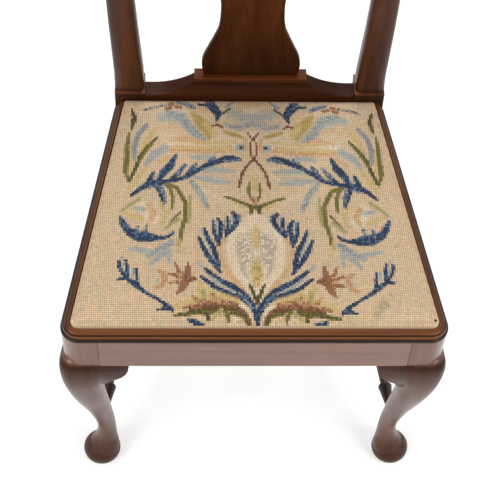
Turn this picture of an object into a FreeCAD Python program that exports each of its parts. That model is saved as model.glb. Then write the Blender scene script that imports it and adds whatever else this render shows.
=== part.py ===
"""George II side chair with a drop-in needlework seat, built piece by piece.

Millimetres. X runs to the viewer's right, Y to the back, Z up, and the chair faces -Y. The pieces are laid
out with y = 0 on the front rail's face and moved at the end so that the origin lies under the middle.
"""

import math
import os

import FreeCAD
import Part

V = FreeCAD.Vector

# Seat frame
seat_front_width = 551.6  # over the rails' faces, where the side faces would meet the front face
seat_rear_width = 418.0  # over the side rails' faces at the stiles
seat_depth = 431.0  # front rail's face to the stiles' front
rail_bottom = 340.0
rail_height = 62.0
rail_thickness = 26.0
rear_rail_thickness = 28.0
rear_rail_rise = 29.0  # its top stands above the side rails' tops
corner_radius = 26.0
rim_height = 16.0
rim_width = 13.0

# Front legs
leg_centre = 27.0  # leg axis behind the front and side faces
leg_reach = 25.3  # leg axis to the post's inner faces
bracket_length = 41.0
bracket_drop = 53.0
bracket_depth = 22.0

# Rear legs and back
stile_width = 46.5
stile_depth = 43.0
block_top = 446.0  # square part of the stile ends here
crest_bottom = 905.0
crest_rise = 81.0
shoe_height = 34.0
splat_thickness = 10.0
rear_splay = 73.0  # rear foot stands this far behind the stile
back_rake = 80.0  # crest stands this far behind the stile

# Stretchers
stretcher_height = 115.0
stretcher_block = 27.0
stretcher_block_length = 66.0
peg_radius = 6.0  # round tenons of the stretchers

# Joints
tenon_length = 22.0
tenon_thickness = 10.0
fit = 0.2  # play round a tenon, each face
end_play = 1.0  # a mortise is this much deeper than its tenon

# Slip seat
seat_gap = 1.6  # all round, between cover and rim
cover_thickness = 1.6
slip_thickness = 15.0
slip_width = 58.0
strap_width = 50.0
strap_thickness = 1.2
sackcloth_thickness = 0.8
seat_crown = 14.0
hem_width = 26.0
tack_inset = 18.0

# Sizes that follow from these
rail_top = rail_bottom + rail_height
rim_top = rail_top + rim_height
half_front = seat_front_width / 2
taper = (seat_front_width - seat_rear_width) / 2 / seat_depth
slope = math.sqrt(1 + taper * taper)
taper_angle = math.degrees(math.atan(taper))
stile_front = seat_depth
stile_x = seat_rear_width / 2 - stile_width / 2


def side_x(y, inset=0.0):
    """X of the right side rail's face at depth y, or of a line parallel to it further in."""
    return half_front - taper * y - inset * slope


leg_y = leg_centre
leg_x = side_x(leg_y) - leg_centre
post_in = leg_x - leg_reach
post_back = leg_y + leg_reach


def unit(v):
    return v.multiply(1 / v.Length)


def box(x0, x1, y0, y1, z0, z1):
    return Part.makeBox(x1 - x0, y1 - y0, z1 - z0, V(x0, y0, z0))


def plan_prism(points, z0, z1):
    """A prism over plan points."""
    wire = Part.makePolygon([V(x, y, z0) for x, y in points + points[:1]])
    return Part.Face(wire).extrude(V(0, 0, z1 - z0))


def corner_ends(corners, i, z):
    """A plan corner at height z and the ways back and ahead from it."""
    here = V(corners[i][0], corners[i][1], z)
    before = corners[i - 1]
    after = corners[(i + 1) % len(corners)]
    return here, unit(V(before[0], before[1], z) - here), unit(V(after[0], after[1], z) - here)


def rounded(corners, radii, z):
    """A closed outline at height z through plan corners, each rounded by its own radius."""
    ends = []
    arcs = []
    count = len(corners)
    for i in range(count):
        here, back, ahead = corner_ends(corners, i, z)
        half = back.getAngle(ahead) / 2
        run = radii[i] / math.tan(half)
        inward = unit(back + ahead)
        middle = here + inward * (radii[i] / math.sin(half) - radii[i])
        ends.append((here + back * run, here + ahead * run))
        arcs.append(Part.Arc(ends[i][0], middle, ends[i][1]).toShape())
    edges = []
    for i in range(count):
        edges.append(arcs[i])
        edges.append(Part.makeLine(ends[i][1], ends[(i + 1) % count][0]))
    return Part.Wire(edges)


def rounded_prism(corners, radii, z0, z1):
    return Part.Face(rounded(corners, radii, z0)).extrude(V(0, 0, z1 - z0))


def faceted(corners, radii, z, cuts):
    """A closed outline at height z through plan corners, each rounded by a few straight cuts."""
    points = []
    for i in range(len(corners)):
        here, back, ahead = corner_ends(corners, i, z)
        half = back.getAngle(ahead) / 2
        centre = here + unit(back + ahead) * (radii[i] / math.sin(half))
        spoke = here + back * (radii[i] / math.tan(half)) - centre
        for k in range(cuts + 1):
            turn = (math.pi - 2 * half) * k / cuts
            x = spoke.x * math.cos(turn) - spoke.y * math.sin(turn)
            y = spoke.x * math.sin(turn) + spoke.y * math.cos(turn)
            points.append(centre + V(x, y, 0))
    return Part.makePolygon(points + points[:1])


def spline(points):
    curve = Part.BSplineCurve()
    curve.interpolate(points)
    return curve.toShape()


def mirrored(shape):
    return shape.mirror(V(0, 0, 0), V(1, 0, 0))


def flip(point):
    return V(-point.x, point.y, point.z)


def one(shape):
    """The shape as a single clean solid."""
    return shape.removeSplitter().Solids[0]


pieces = {}

# Front legs: a rounded corner post, a knee, a slender ankle and a pad foot, all one piece of wood.
# Each section is a rounded square on the leg's diagonal, given by its height as a share of the leg, its
# reach outward and inward from the leg's axis, and how square it is (2 is round).
knee_spare = 13.0  # the knee is left this much too wide inside and then cut flat for the brackets
knee_end = 0.79
leg_sections = [
    (1.0, leg_centre + 1.5, leg_reach + knee_spare, 3.0),
    (0.965, leg_centre + 6.0, leg_reach + knee_spare, 3.0),
    (0.89, leg_centre + 6.3, leg_reach + knee_spare * 0.75, 3.0),
    (knee_end, leg_centre + 2.5, leg_reach, 2.8),
    (0.64, 19.8, 26.2, 2.5),
    (0.45, 3.6, 31.7, 2.2),
    (0.28, -6.8, 35.7, 2.0),
    (0.175, -4.2, 37.0, 2.0),
    (0.11, 6.0, 39.3, 2.0),
    (0.055, 11.5, 39.0, 2.0),
]
section_points = 24


def leg_section(share, outer, inner, squareness):
    half = (outer + inner) / 2
    shift = (outer - inner) / 2
    lean = taper * max(0.0, share - 0.5) / 0.5
    points = []
    for i in range(section_points):
        turn = 2 * math.pi * (i + 0.5) / section_points
        across = math.copysign(abs(math.cos(turn)) ** (2 / squareness), math.cos(turn))
        behind = math.copysign(abs(math.sin(turn)) ** (2 / squareness), math.sin(turn))
        x = leg_x + shift + half * across - lean * half * behind * (1 + across) / 2
        points.append(V(x, leg_y - shift + half * behind, share * rail_bottom))
    return Part.makePolygon(points + points[:1])


cabriole = Part.makeLoft([leg_section(*section) for section in leg_sections], True, False, False, 3)

pad_radius = 29.6
pad_bulge = 19.0  # height of the widest place
pad_x = leg_x - 11.5
pad_y = leg_y + 16.5
pad_bands = 10
pad_rings = []
for band in range(pad_bands + 1):
    lean = math.radians(-52 + 115 * band / pad_bands)
    z = pad_bulge * (1 + math.sin(lean) / math.sin(math.radians(52)))
    ring = []
    for i in range(section_points):
        turn = 2 * math.pi * (i + 0.5) / section_points
        reach = pad_radius * math.cos(lean)
        ring.append(V(pad_x + reach * math.cos(turn), pad_y + reach * math.sin(turn), z))
    pad_rings.append(Part.makePolygon(ring + ring[:1]))
pad = Part.makeLoft(pad_rings, True, True)

post_corners = [(post_in, 0), (side_x(0), 0), (side_x(post_back), post_back), (post_in, post_back)]
post = rounded_prism(post_corners, [0.8, corner_radius, 0.8, 0.8], rail_bottom, rail_top)
bracket_low = knee_end * rail_bottom
flat_inside = box(post_in - 60, post_in, -60, 120, bracket_low, rail_bottom)
flat_behind = box(post_in - 60, half_front + 60, post_back, post_back + 60, bracket_low, rail_bottom)
leg = cabriole.cut(flat_inside).cut(flat_behind).fuse(post).fuse(pad)

# Tenons of the rails, each grown by its play to cut the mortise.
tenon_low = rail_bottom + 10
tenon_high = rail_top - 12
tenon_in = (rail_thickness - tenon_thickness) / 2


def front_tenon(play):
    reach = tenon_length + (end_play if play else 0)
    y0 = tenon_in - play
    y1 = tenon_in + tenon_thickness + play
    return box(post_in - 4, post_in + reach, y0, y1, tenon_low - play, tenon_high + play)


side_tenon_inset = 12.0
side_tenon_thickness = 9.0


def side_tenon(y0, y1, play):
    near = side_tenon_inset - play
    far = side_tenon_inset + side_tenon_thickness + play
    points = [(side_x(y0, near), y0), (side_x(y1, near), y1), (side_x(y1, far), y1), (side_x(y0, far), y0)]
    return plan_prism(points, tenon_low - play, tenon_high + play)


# Stretcher axis from the front leg to the rear leg, level.
stretcher_start = V(leg_x - 19.5, leg_y + 19.5, stretcher_height)
rear_leg_y = stile_front + stile_depth / 2 + rear_splay * 0.59
rear_leg_x = stile_x - 8.4
stretcher_end = V(rear_leg_x, rear_leg_y, stretcher_height)
stretcher_run = (stretcher_end - stretcher_start).Length
stretcher_way = unit(stretcher_end - stretcher_start)
stretcher_turn = math.degrees(math.atan2(stretcher_way.y, stretcher_way.x))
front_hole = Part.makeCylinder(peg_radius + fit, 40, stretcher_start - stretcher_way * 5, stretcher_way)
rear_hole = Part.makeCylinder(peg_radius + fit, 40, stretcher_end + stretcher_way * 5, stretcher_way * -1)

leg = leg.cut(front_tenon(fit))
leg = leg.cut(side_tenon(post_back - tenon_length - end_play, post_back + 4, fit))
leg = one(leg.cut(front_hole))
pieces["front_leg_right"] = leg
pieces["front_leg_left"] = mirrored(leg)

# Rails, tenoned into the posts and stiles.
front_rail = box(-post_in, post_in, 0, rail_thickness, rail_bottom, rail_top)
right_tenon = front_tenon(0)
front_rail = one(front_rail.fuse(right_tenon).fuse(mirrored(right_tenon)))
pieces["front_rail"] = front_rail

side_points = [
    (side_x(post_back), post_back),
    (side_x(stile_front), stile_front),
    (side_x(stile_front, rail_thickness), stile_front),
    (side_x(post_back, rail_thickness), post_back),
]
side_rail = plan_prism(side_points, rail_bottom, rail_top)
side_rail = side_rail.fuse(side_tenon(post_back - tenon_length, post_back + 4, 0))
side_rail = one(side_rail.fuse(side_tenon(stile_front - 4, stile_front + tenon_length, 0)))
pieces["side_rail_right"] = side_rail
pieces["side_rail_left"] = mirrored(side_rail)

rear_top = rail_top + rear_rail_rise
rear_in = stile_x - stile_width / 2
rear_back = stile_front + rear_rail_thickness
rear_tenon_length = 16.0


def rear_tenon(play):
    y0 = stile_front + (rear_rail_thickness - tenon_thickness) / 2 - play
    y1 = y0 + tenon_thickness + 2 * play
    reach = rear_tenon_length + (end_play if play else 0)
    return box(rear_in - 4, rear_in + reach, y0, y1, tenon_low - play, rear_top - 14 + play)


rear_rail = box(-rear_in, rear_in, stile_front, rear_back, rail_bottom, rear_top)
rear_rail = one(rear_rail.fuse(rear_tenon(0)).fuse(mirrored(rear_tenon(0))))
pieces["rear_rail"] = rear_rail

batten_width = 14.0
batten_depth = 24.0
batten_x = rear_in - 12
pieces["seat_batten"] = box(
    -batten_x, batten_x, stile_front - batten_width, stile_front, rail_top - batten_depth, rail_top
)

# Glue blocks in the nooks of the rails.
block_low = rail_bottom + 8
block_high = rail_top - 6
side_inner = side_x(post_back, rail_thickness)
nooks = {
    "front": [(post_in, rail_thickness), (post_in, post_back), (post_in - 34, rail_thickness)],
    "side": [
        (post_in + 2, post_back),
        (side_inner, post_back),
        (side_x(post_back + 34, rail_thickness), post_back + 34),
    ],
    "rear": [
        (rear_in + 2, stile_front),
        (side_x(stile_front, rail_thickness), stile_front),
        (side_x(stile_front - 34, rail_thickness), stile_front - 34),
    ],
}
for place, points in nooks.items():
    block = plan_prism(points, block_low, block_high)
    pieces["glue_block_" + place + "_right"] = block
    pieces["glue_block_" + place + "_left"] = mirrored(block)

# Knee brackets, sawn to a lobed outline and carved to carry on the knee's bulge.
# Built with x along the rail away from the leg and y outward from the rail's face.
bracket_bottom = rail_bottom - bracket_drop
bracket_start = -8.0
bracket_bulges = [(1.0, 0.6), (0.965, 3.6), (0.89, 3.9), (knee_end, 1.2)]


def bracket_section(x, strength):
    front = [V(x, bulge * strength, share * rail_bottom) for share, bulge in bracket_bulges]
    top = V(x, -bracket_depth, rail_bottom)
    foot = V(x, -bracket_depth, front[-1].z)
    edges = [spline(front), Part.makeLine(front[-1], foot), Part.makeLine(foot, top)]
    edges.append(Part.makeLine(top, front[0]))
    return Part.Wire(edges)


bracket_body = Part.makeLoft([bracket_section(bracket_start, 1.0), bracket_section(0, 1.0)], True, True)
bracket_tail = Part.makeLoft([bracket_section(0, 1.0), bracket_section(bracket_length + 2, 0.2)], True, True)
lobe = V(bracket_length * 0.51, -100, rail_bottom - bracket_drop * 0.68)
lobe_end = V(bracket_length, -100, rail_bottom)
lobe_side = V(bracket_length * 0.9, -100, rail_bottom - bracket_drop * 0.42)
hollow = V(bracket_length * 0.24, -100, rail_bottom - bracket_drop * 0.76)
tip = V(0, -100, bracket_bottom)
corner_low = V(bracket_start, -100, bracket_bottom - 4)
corner_high = V(bracket_start, -100, rail_bottom)
outline = Part.Wire(
    [
        Part.Arc(lobe_end, lobe_side, lobe).toShape(),
        Part.Arc(lobe, hollow, tip).toShape(),
        Part.makeLine(tip, corner_low),
        Part.makeLine(corner_low, corner_high),
        Part.makeLine(corner_high, lobe_end),
    ]
)
bracket = bracket_body.fuse(bracket_tail).common(Part.Face(outline).extrude(V(0, 200, 0)))

front_bracket = bracket.copy()
front_bracket.rotate(V(0, 0, 0), V(0, 0, 1), 180)
front_bracket.translate(V(post_in, 0, 0))
front_bracket = one(front_bracket.cut(box(post_in, post_in + 40, -60, 60, 0, rail_top)))
pieces["knee_bracket_front_right"] = front_bracket
pieces["knee_bracket_front_left"] = mirrored(front_bracket)

side_bracket = bracket.mirror(V(0, 0, 0), V(0, 1, 0))
side_bracket.rotate(V(0, 0, 0), V(0, 0, 1), 90 + taper_angle)
side_bracket.translate(V(side_x(post_back), post_back, 0))
side_bracket = one(side_bracket.cut(box(0, half_front + 60, -60, post_back, 0, rail_top)))
pieces["knee_bracket_side_right"] = side_bracket
pieces["knee_bracket_side_left"] = mirrored(side_bracket)

# Rim moulding: a rounded lip, a fillet, a hollow and a lower fillet, applied on the rails and
# mitred at the rounded front corners.
lip = rim_height
rim_points = {
    "inner_low": (-rim_width, 0),
    "inner_high": (-rim_width, lip - 1.0),
    "arris": (-rim_width + 1.0, lip),
    "round_start": (-rim_width * 0.62, lip),
    "round_middle": (-rim_width * 0.42, lip - 1.1),
    "round_end": (-rim_width * 0.34, lip - 3.6),
    "fillet_in": (-rim_width * 0.34, lip - 4.6),
    "fillet_out": (-rim_width * 0.24, lip - 4.6),
    "hollow_middle": (-rim_width * 0.17, lip * 0.36),
    "hollow_end": (0.5, lip * 0.22),
    "lower_fillet": (0.8, lip * 0.22),
    "outer_low": (0.8, 0),
}
path_tail = seat_depth + 20
start = V(side_x(path_tail), path_tail, rail_top)
along = unit(V(taper, -1, 0))
outward = V(-along.y, along.x, 0)


def at_start(name):
    out, up = rim_points[name]
    return start + outward * out + V(0, 0, up)


rim_profile = Part.Wire(
    [
        Part.makeLine(at_start("inner_low"), at_start("inner_high")),
        Part.makeLine(at_start("inner_high"), at_start("arris")),
        Part.makeLine(at_start("arris"), at_start("round_start")),
        Part.Arc(at_start("round_start"), at_start("round_middle"), at_start("round_end")).toShape(),
        Part.makeLine(at_start("round_end"), at_start("fillet_in")),
        Part.makeLine(at_start("fillet_in"), at_start("fillet_out")),
        Part.Arc(at_start("fillet_out"), at_start("hollow_middle"), at_start("hollow_end")).toShape(),
        Part.makeLine(at_start("hollow_end"), at_start("lower_fillet")),
        Part.makeLine(at_start("lower_fillet"), at_start("outer_low")),
        Part.makeLine(at_start("outer_low"), at_start("inner_low")),
    ]
)
corner_half = math.radians(90 - taper_angle) / 2
corner_run = corner_radius / math.tan(corner_half)
corner = V(half_front, 0, rail_top)
arc_in = corner - along * corner_run
arc_out = corner - V(corner_run, 0, 0)
bisector = unit(V(-1, 0, 0) - along)
arc_centre = corner + bisector * (corner_radius / math.sin(corner_half))
arc_middle = arc_centre - bisector * corner_radius
rim_path = Part.Wire(
    [
        Part.makeLine(start, arc_in),
        Part.Arc(arc_in, arc_middle, arc_out).toShape(),
        Part.makeLine(arc_out, flip(arc_out)),
        Part.Arc(flip(arc_out), flip(arc_middle), flip(arc_in)).toShape(),
        Part.makeLine(flip(arc_in), flip(start)),
    ]
)
rim = rim_path.makePipeShell([rim_profile], True, False)
rim = rim.cut(box(-half_front, half_front, stile_front, path_tail + 40, 0, rim_top + 20))
mitre_in = arc_centre + bisector * 4
mitre_out = arc_centre - bisector * (corner_radius + 30)
front_zone = plan_prism(
    [
        (mitre_in.x, mitre_in.y),
        (mitre_out.x, mitre_out.y),
        (-mitre_out.x, mitre_out.y),
        (-mitre_in.x, mitre_in.y),
    ],
    rail_top - 10,
    rim_top + 10,
)
pieces["rim_front"] = one(rim.common(front_zone))
rim_sides = rim.cut(front_zone)
right_half = box(0, half_front + 60, -60, seat_depth + 60, 0, rim_top + 20)
pieces["rim_right"] = one(rim_sides.common(right_half))
pieces["rim_left"] = mirrored(pieces["rim_right"])

# Rear legs: each is one plank with the stile, square at the rails, rounded above, swept back below.
block_low_z = rail_bottom - 2
block_y = stile_front + stile_depth / 2
round_start = block_top + 24
back_rise = crest_bottom - round_start


def stile_corners(x, y, width, depth):
    x0 = x - width / 2
    x1 = x + width / 2
    y0 = y - depth / 2
    y1 = y + depth / 2
    return [(x0, y0), (x1, y0), (x1, y1), (x0, y1)]


stile_lean = 28.8  # the stile's top stands this far outside its foot
stile_round = 13.0
stile_cuts = 3
arris = 1.5
foot_sections = [
    (0.0, -11.5, 1.0, stile_width - 8.5, stile_depth - 2.0),
    (0.24, -9.6, 0.75, stile_width - 10.0, stile_depth - 5.0),
    (0.53, -6.0, 0.38, stile_width - 10.0, stile_depth - 6.0),
    (0.82, -1.5, 0.08, stile_width - 5.0, stile_depth - 2.5),
    (1.0, 0.0, 0.0, stile_width, stile_depth),
]
foot_wires = []
for share, x, sweep, width, depth in foot_sections:
    corners = stile_corners(stile_x + x, block_y + sweep * rear_splay, width, depth)
    points = [V(x, y, share * block_low_z) for x, y in corners]
    foot_wires.append(Part.makePolygon(points + points[:1]))
block_corners = stile_corners(stile_x, block_y, stile_width, stile_depth)
block_end = faceted(block_corners, [arris] * 4, block_top, stile_cuts)
stile_sections = [
    (0.0, 0.0, stile_width - 1.5, stile_depth - 7.0),
    (0.4, 0.32, stile_width - 5.2, stile_depth - 10.5),
    (1.0, 1.0, stile_width - 7.4, stile_depth - 15.0),
]
stile_wires = []
for share, drift, width, depth in stile_sections:
    y = block_y + 1.0 + drift * (back_rake - 1.0)
    corners = stile_corners(stile_x + 0.8 + share * stile_lean, y, width, depth)
    stile_wires.append(faceted(corners, [stile_round] * 4, round_start + share * back_rise, stile_cuts))
rear_leg = Part.makeLoft(foot_wires, True, False)
rear_leg = rear_leg.fuse(plan_prism(block_corners, block_low_z, block_top))
rear_leg = rear_leg.fuse(Part.makeLoft([block_end, stile_wires[0]], True, True))
rear_leg = rear_leg.fuse(Part.makeLoft(stile_wires, True, False))
top_x = stile_x + 0.8 + stile_lean
top_y = block_y + back_rake


def stile_tenon(play):
    top = crest_bottom + 24 + (end_play if play else 0)
    x = 11 + play
    y = 5 + play
    return box(top_x - x, top_x + x, top_y - y, top_y + y, crest_bottom - 6, top)


rear_leg = rear_leg.fuse(stile_tenon(0))
rear_leg = rear_leg.cut(side_tenon(stile_front - 4, stile_front + tenon_length + end_play, fit))
rear_leg = rear_leg.cut(rear_tenon(fit))
rear_leg = one(rear_leg.cut(rear_hole))
pieces["rear_leg_right"] = rear_leg
pieces["rear_leg_left"] = mirrored(rear_leg)

# Splat: a vase outline cut from a board that follows the rake of the back.
shoe_top = rear_top + shoe_height
splat_front = stile_front + 14.0
tongue = 14.0
splat_rise = crest_bottom - shoe_top
splat_lean = block_y + back_rake - splat_thickness / 2 - splat_front


def splat_slab(play):
    """The bent board the splat is cut from, seen from the side, across the whole back."""
    front = []
    back = []
    for share, drift in ((0.0, 0.0), (0.17, 0.11), (0.33, 0.24), (0.5, 0.41), (0.66, 0.59), (1.0, 1.0)):
        y = splat_front + drift * splat_lean
        z = shoe_top + share * splat_rise
        front.append(V(-120, y - play, z))
        back.append(V(-120, y + splat_thickness + play, z))
    drop = V(0, -1.2, -tongue - end_play)
    climb = V(0, 3.2, tongue + end_play)
    front = [front[0] + drop] + front + [front[-1] + climb]
    back = [back[0] + drop] + back + [back[-1] + climb]
    edges = [spline(front), Part.makeLine(front[-1], back[-1]), spline(back[::-1])]
    edges.append(Part.makeLine(back[0], front[0]))
    return Part.Face(Part.Wire(edges)).extrude(V(240, 0, 0))


half_outline = [
    (0.0, 71.0),
    (0.025, 74.0),
    (0.052, 75.0),
    (0.08, 72.5),
    (0.114, 66.0),
    (0.148, 59.0),
    (0.2, 50.0),
    (0.274, 47.2),
    (0.323, 48.6),
    (0.4, 55.5),
    (0.51, 74.0),
    (0.614, 86.0),
    (0.705, 83.0),
    (0.795, 66.0),
    (0.864, 50.5),
    (0.92, 45.5),
    (0.966, 50.0),
    (1.0, 58.0),
]
side_edge = [V(x, 0, shoe_top + share * splat_rise) for share, x in half_outline]
low_tongue = 66.0
high_tongue = 48.0
low = shoe_top - tongue
high = crest_bottom + tongue
turn = [
    V(side_edge[-1].x, 0, crest_bottom),
    V(high_tongue, 0, crest_bottom),
    V(high_tongue, 0, high),
    V(-high_tongue, 0, high),
    V(-high_tongue, 0, crest_bottom),
    V(-side_edge[-1].x, 0, crest_bottom),
]
foot = [
    V(-side_edge[0].x, 0, shoe_top),
    V(-low_tongue, 0, shoe_top),
    V(-low_tongue, 0, low),
    V(low_tongue, 0, low),
    V(low_tongue, 0, shoe_top),
    V(side_edge[0].x, 0, shoe_top),
]
outline_edges = [spline(side_edge)]
outline_edges += [Part.makeLine(a, b) for a, b in zip(turn, turn[1:])]
outline_edges.append(spline([flip(p) for p in side_edge[::-1]]))
outline_edges += [Part.makeLine(a, b) for a, b in zip(foot, foot[1:])]
splat_face = Part.Face(Part.Wire(outline_edges))
splat = splat_face.extrude(V(0, stile_front * 3, 0)).common(splat_slab(0))
pieces["splat"] = one(splat)


def tongue_hole(half_width, z0, z1):
    room = box(-half_width - fit, half_width + fit, 0, stile_front * 3, z0, z1)
    return splat_slab(fit).common(room)


# Shoe: a moulded block on the rear rail, hollowed at the front and swept down at both ends.
cap = 4.5
cap_half = 85.0
cap_front = stile_front + 6.0
sweep_end = cap_half + 66.0
sweep_run = sweep_end - cap_half + 4.0
sweep_low = rear_top + 2.5
sweep_high = shoe_top - cap - 1.2
sweep_rise = sweep_high - sweep_low
sweep_radius = (sweep_run * sweep_run + sweep_rise * sweep_rise) / 2 / sweep_rise
sweep_x = sweep_end - sweep_run * 0.6
sweep_z = sweep_low + sweep_radius - math.sqrt(sweep_radius**2 - (sweep_run * 0.6) ** 2)
shoe_front = Part.Wire(
    [
        Part.makeLine(V(-sweep_end, 0, rear_top), V(sweep_end, 0, rear_top)),
        Part.makeLine(V(sweep_end, 0, rear_top), V(sweep_end, 0, sweep_low)),
        Part.Arc(
            V(sweep_end, 0, sweep_low),
            V(sweep_x, 0, sweep_z),
            V(cap_half - 4.0, 0, sweep_high),
        ).toShape(),
        Part.makeLine(V(cap_half - 4.0, 0, sweep_high), V(cap_half - 4.0, 0, shoe_top - cap)),
        Part.makeLine(V(cap_half - 4.0, 0, shoe_top - cap), V(cap_half, 0, shoe_top - cap)),
        Part.makeLine(V(cap_half, 0, shoe_top - cap), V(cap_half, 0, shoe_top)),
        Part.makeLine(V(cap_half, 0, shoe_top), V(-cap_half, 0, shoe_top)),
        Part.makeLine(V(-cap_half, 0, shoe_top), V(-cap_half, 0, shoe_top - cap)),
        Part.makeLine(V(-cap_half, 0, shoe_top - cap), V(4.0 - cap_half, 0, shoe_top - cap)),
        Part.makeLine(V(4.0 - cap_half, 0, shoe_top - cap), V(4.0 - cap_half, 0, sweep_high)),
        Part.Arc(
            V(4.0 - cap_half, 0, sweep_high),
            V(-sweep_x, 0, sweep_z),
            V(-sweep_end, 0, sweep_low),
        ).toShape(),
        Part.makeLine(V(-sweep_end, 0, sweep_low), V(-sweep_end, 0, rear_top)),
    ]
)
shoe_side = Part.Wire(
    [
        Part.makeLine(V(-200, rear_back, rear_top), V(-200, stile_front, rear_top)),
        Part.makeLine(V(-200, stile_front, rear_top), V(-200, stile_front, rear_top + 1.5)),
        Part.Arc(
            V(-200, stile_front, rear_top + 1.5),
            V(-200, stile_front + 7.5, rear_top + shoe_height * 0.42),
            V(-200, cap_front + 4.0, shoe_top - cap),
        ).toShape(),
        Part.makeLine(V(-200, cap_front + 4.0, shoe_top - cap), V(-200, cap_front, shoe_top - cap)),
        Part.makeLine(V(-200, cap_front, shoe_top - cap), V(-200, cap_front, shoe_top)),
        Part.makeLine(V(-200, cap_front, shoe_top), V(-200, rear_back, shoe_top)),
        Part.makeLine(V(-200, rear_back, shoe_top), V(-200, rear_back, rear_top)),
    ]
)
shoe = Part.Face(shoe_front).extrude(V(0, stile_front * 3, 0))
shoe = shoe.common(Part.Face(shoe_side).extrude(V(400, 0, 0)))
shoe = shoe.cut(tongue_hole(low_tongue, low - end_play, shoe_top + 5))
pieces["splat_shoe"] = one(shoe)

# Crest rail: rounded shoulders over the stiles and a raised middle, leaning with the back.
crest_top = crest_bottom + crest_rise
crest_half = top_x + (stile_width - 7.4) / 2
half_crest = [
    (1.0, 0.0),
    (1.01, 0.26),
    (0.975, 0.53),
    (0.88, 0.7),
    (0.7, 0.7),
    (0.48, 0.66),
    (0.3, 0.77),
    (0.13, 0.96),
    (0.0, 1.0),
]
crest_curve = [V(a * crest_half, 0, crest_bottom + b * crest_rise) for a, b in half_crest]
crest_curve += [flip(p) for p in crest_curve[-2::-1]]
crest_outline = Part.Wire([spline(crest_curve), Part.makeLine(crest_curve[-1], crest_curve[0])])
crest_thickness = 28.0 * stile_depth / 43.0
crest_front = top_y - crest_thickness / 2
crest_lean = crest_rise * 0.21
crest_side = Part.makePolygon(
    [
        V(-400, crest_front, crest_bottom),
        V(-400, crest_front + crest_thickness, crest_bottom),
        V(-400, crest_front + crest_thickness + crest_lean - 3, crest_top + 5),
        V(-400, crest_front + crest_lean, crest_top + 5),
        V(-400, crest_front, crest_bottom),
    ]
)
crest = Part.Face(crest_outline).extrude(V(0, stile_front * 3, 0))
crest = crest.common(Part.Face(crest_side).extrude(V(800, 0, 0)))
crest = one(crest)
top_edges = [e for e in crest.Edges if e.BoundBox.XLength > crest_half and e.BoundBox.ZLength > crest_rise / 2]
crest = crest.makeChamfer(4.0, top_edges)
crest = crest.cut(stile_tenon(fit)).cut(mirrored(stile_tenon(fit)))
crest = crest.cut(tongue_hole(high_tongue, crest_bottom - 5, high + end_play))
pieces["crest_rail"] = one(crest)


# Stretchers: turned, with a cone and a rounded shoulder at each leg and a square block in the middle.
turning_sides = 16


def turning(points):
    """A turned form about X through points of (length, radius), in narrow flats."""
    rings = []
    for length, radius in points:
        ring = []
        for i in range(turning_sides):
            turn = 2 * math.pi * (i + 0.5) / turning_sides
            ring.append(V(length, radius * math.cos(turn), radius * math.sin(turn)))
        rings.append(Part.makePolygon(ring + ring[:1]))
    return Part.makeLoft(rings, True, True)


half_run = stretcher_run / 2
side_half = [
    (peg_radius, peg_radius),
    (22.0, peg_radius),
    (48.0, 10.2),
    (51.5, 10.9),
    (55.5, 9.4),
    (60.0, 6.4),
    (half_run - stretcher_block_length / 2 - 9, 9.4),
    (half_run - stretcher_block_length / 2 - 5, 11.4),
    (half_run - stretcher_block_length / 2 + 1, 9.6),
]
side_profile = side_half + [(stretcher_run - a, r) for a, r in side_half[::-1]]
side_stretcher = turning(side_profile)
block_half = stretcher_block / 2
block_from = half_run - stretcher_block_length / 2
block_to = half_run + stretcher_block_length / 2
middle_block = box(block_from, block_to, -block_half, block_half, -block_half, block_half)
block_ends = [e for e in middle_block.Edges if e.BoundBox.XLength < 1]
middle_block = middle_block.makeChamfer(2.5, block_ends)
side_stretcher = one(side_stretcher.fuse(middle_block))
side_stretcher.rotate(V(0, 0, 0), V(0, 0, 1), stretcher_turn)
side_stretcher.translate(stretcher_start)
middle = stretcher_start + stretcher_way * half_run
medial_hole = Part.makeCylinder(peg_radius + fit, stretcher_block, middle, V(-1, 0, 0))
side_stretcher = one(side_stretcher.cut(medial_hole))
pieces["side_stretcher_right"] = side_stretcher
pieces["side_stretcher_left"] = mirrored(side_stretcher)

block_face = middle.x - block_half * stretcher_way.y
medial_half = [
    (end_play - middle.x, peg_radius),
    (-block_face + 5.0, peg_radius),
    (-block_face + 30.0, 10.0),
    (-block_face + 33.5, 10.7),
    (-block_face + 37.5, 9.2),
    (-block_face + 42.0, 6.4),
    (-24.0, 11.4),
    (-8.0, 12.6),
]
medial = turning(medial_half + [(-a, r) for a, r in medial_half[::-1]])
medial.translate(V(0, middle.y, stretcher_height))
pieces["medial_stretcher"] = medial

# Slip seat: a loose frame on the rails' ledge, webbed, stuffed and covered.
hem_low = rail_top
slip_low = hem_low + cover_thickness
slip_high = slip_low + slip_thickness
cover_inset = rim_width + seat_gap
slip_inset = cover_inset + cover_thickness
front_radius = 10.0
rear_radius = 4.0
seat_cuts = 4  # straight cuts that round a corner


def seat_corners(inset):
    """Plan corners of the seat, inset from the rails' faces and the stiles."""
    front_y = inset
    rear_y = stile_front - (inset - rim_width)
    right = [(side_x(front_y, inset), front_y), (side_x(rear_y, inset), rear_y)]
    return [(-right[0][0], front_y), right[0], right[1], (-right[1][0], rear_y)]


def seat_outline(inset, z, deeper=0.0):
    front = front_radius + deeper * 0.25
    rear = rear_radius + deeper * 0.25
    return faceted(seat_corners(inset), [front, front, rear, rear], z, seat_cuts)


slip_front_y = slip_inset
slip_rear_y = stile_front - (slip_inset - rim_width)
slip_plan = Part.Face(seat_outline(slip_inset, slip_low)).extrude(V(0, 0, slip_thickness))
front_line = slip_front_y + slip_width
rear_line = slip_rear_y - slip_width
wide = half_front + 40
slip_tenon = 14.0
slip_third = slip_thickness / 3


def slip_inner(y):
    return side_x(y, slip_inset) - slip_width


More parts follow.
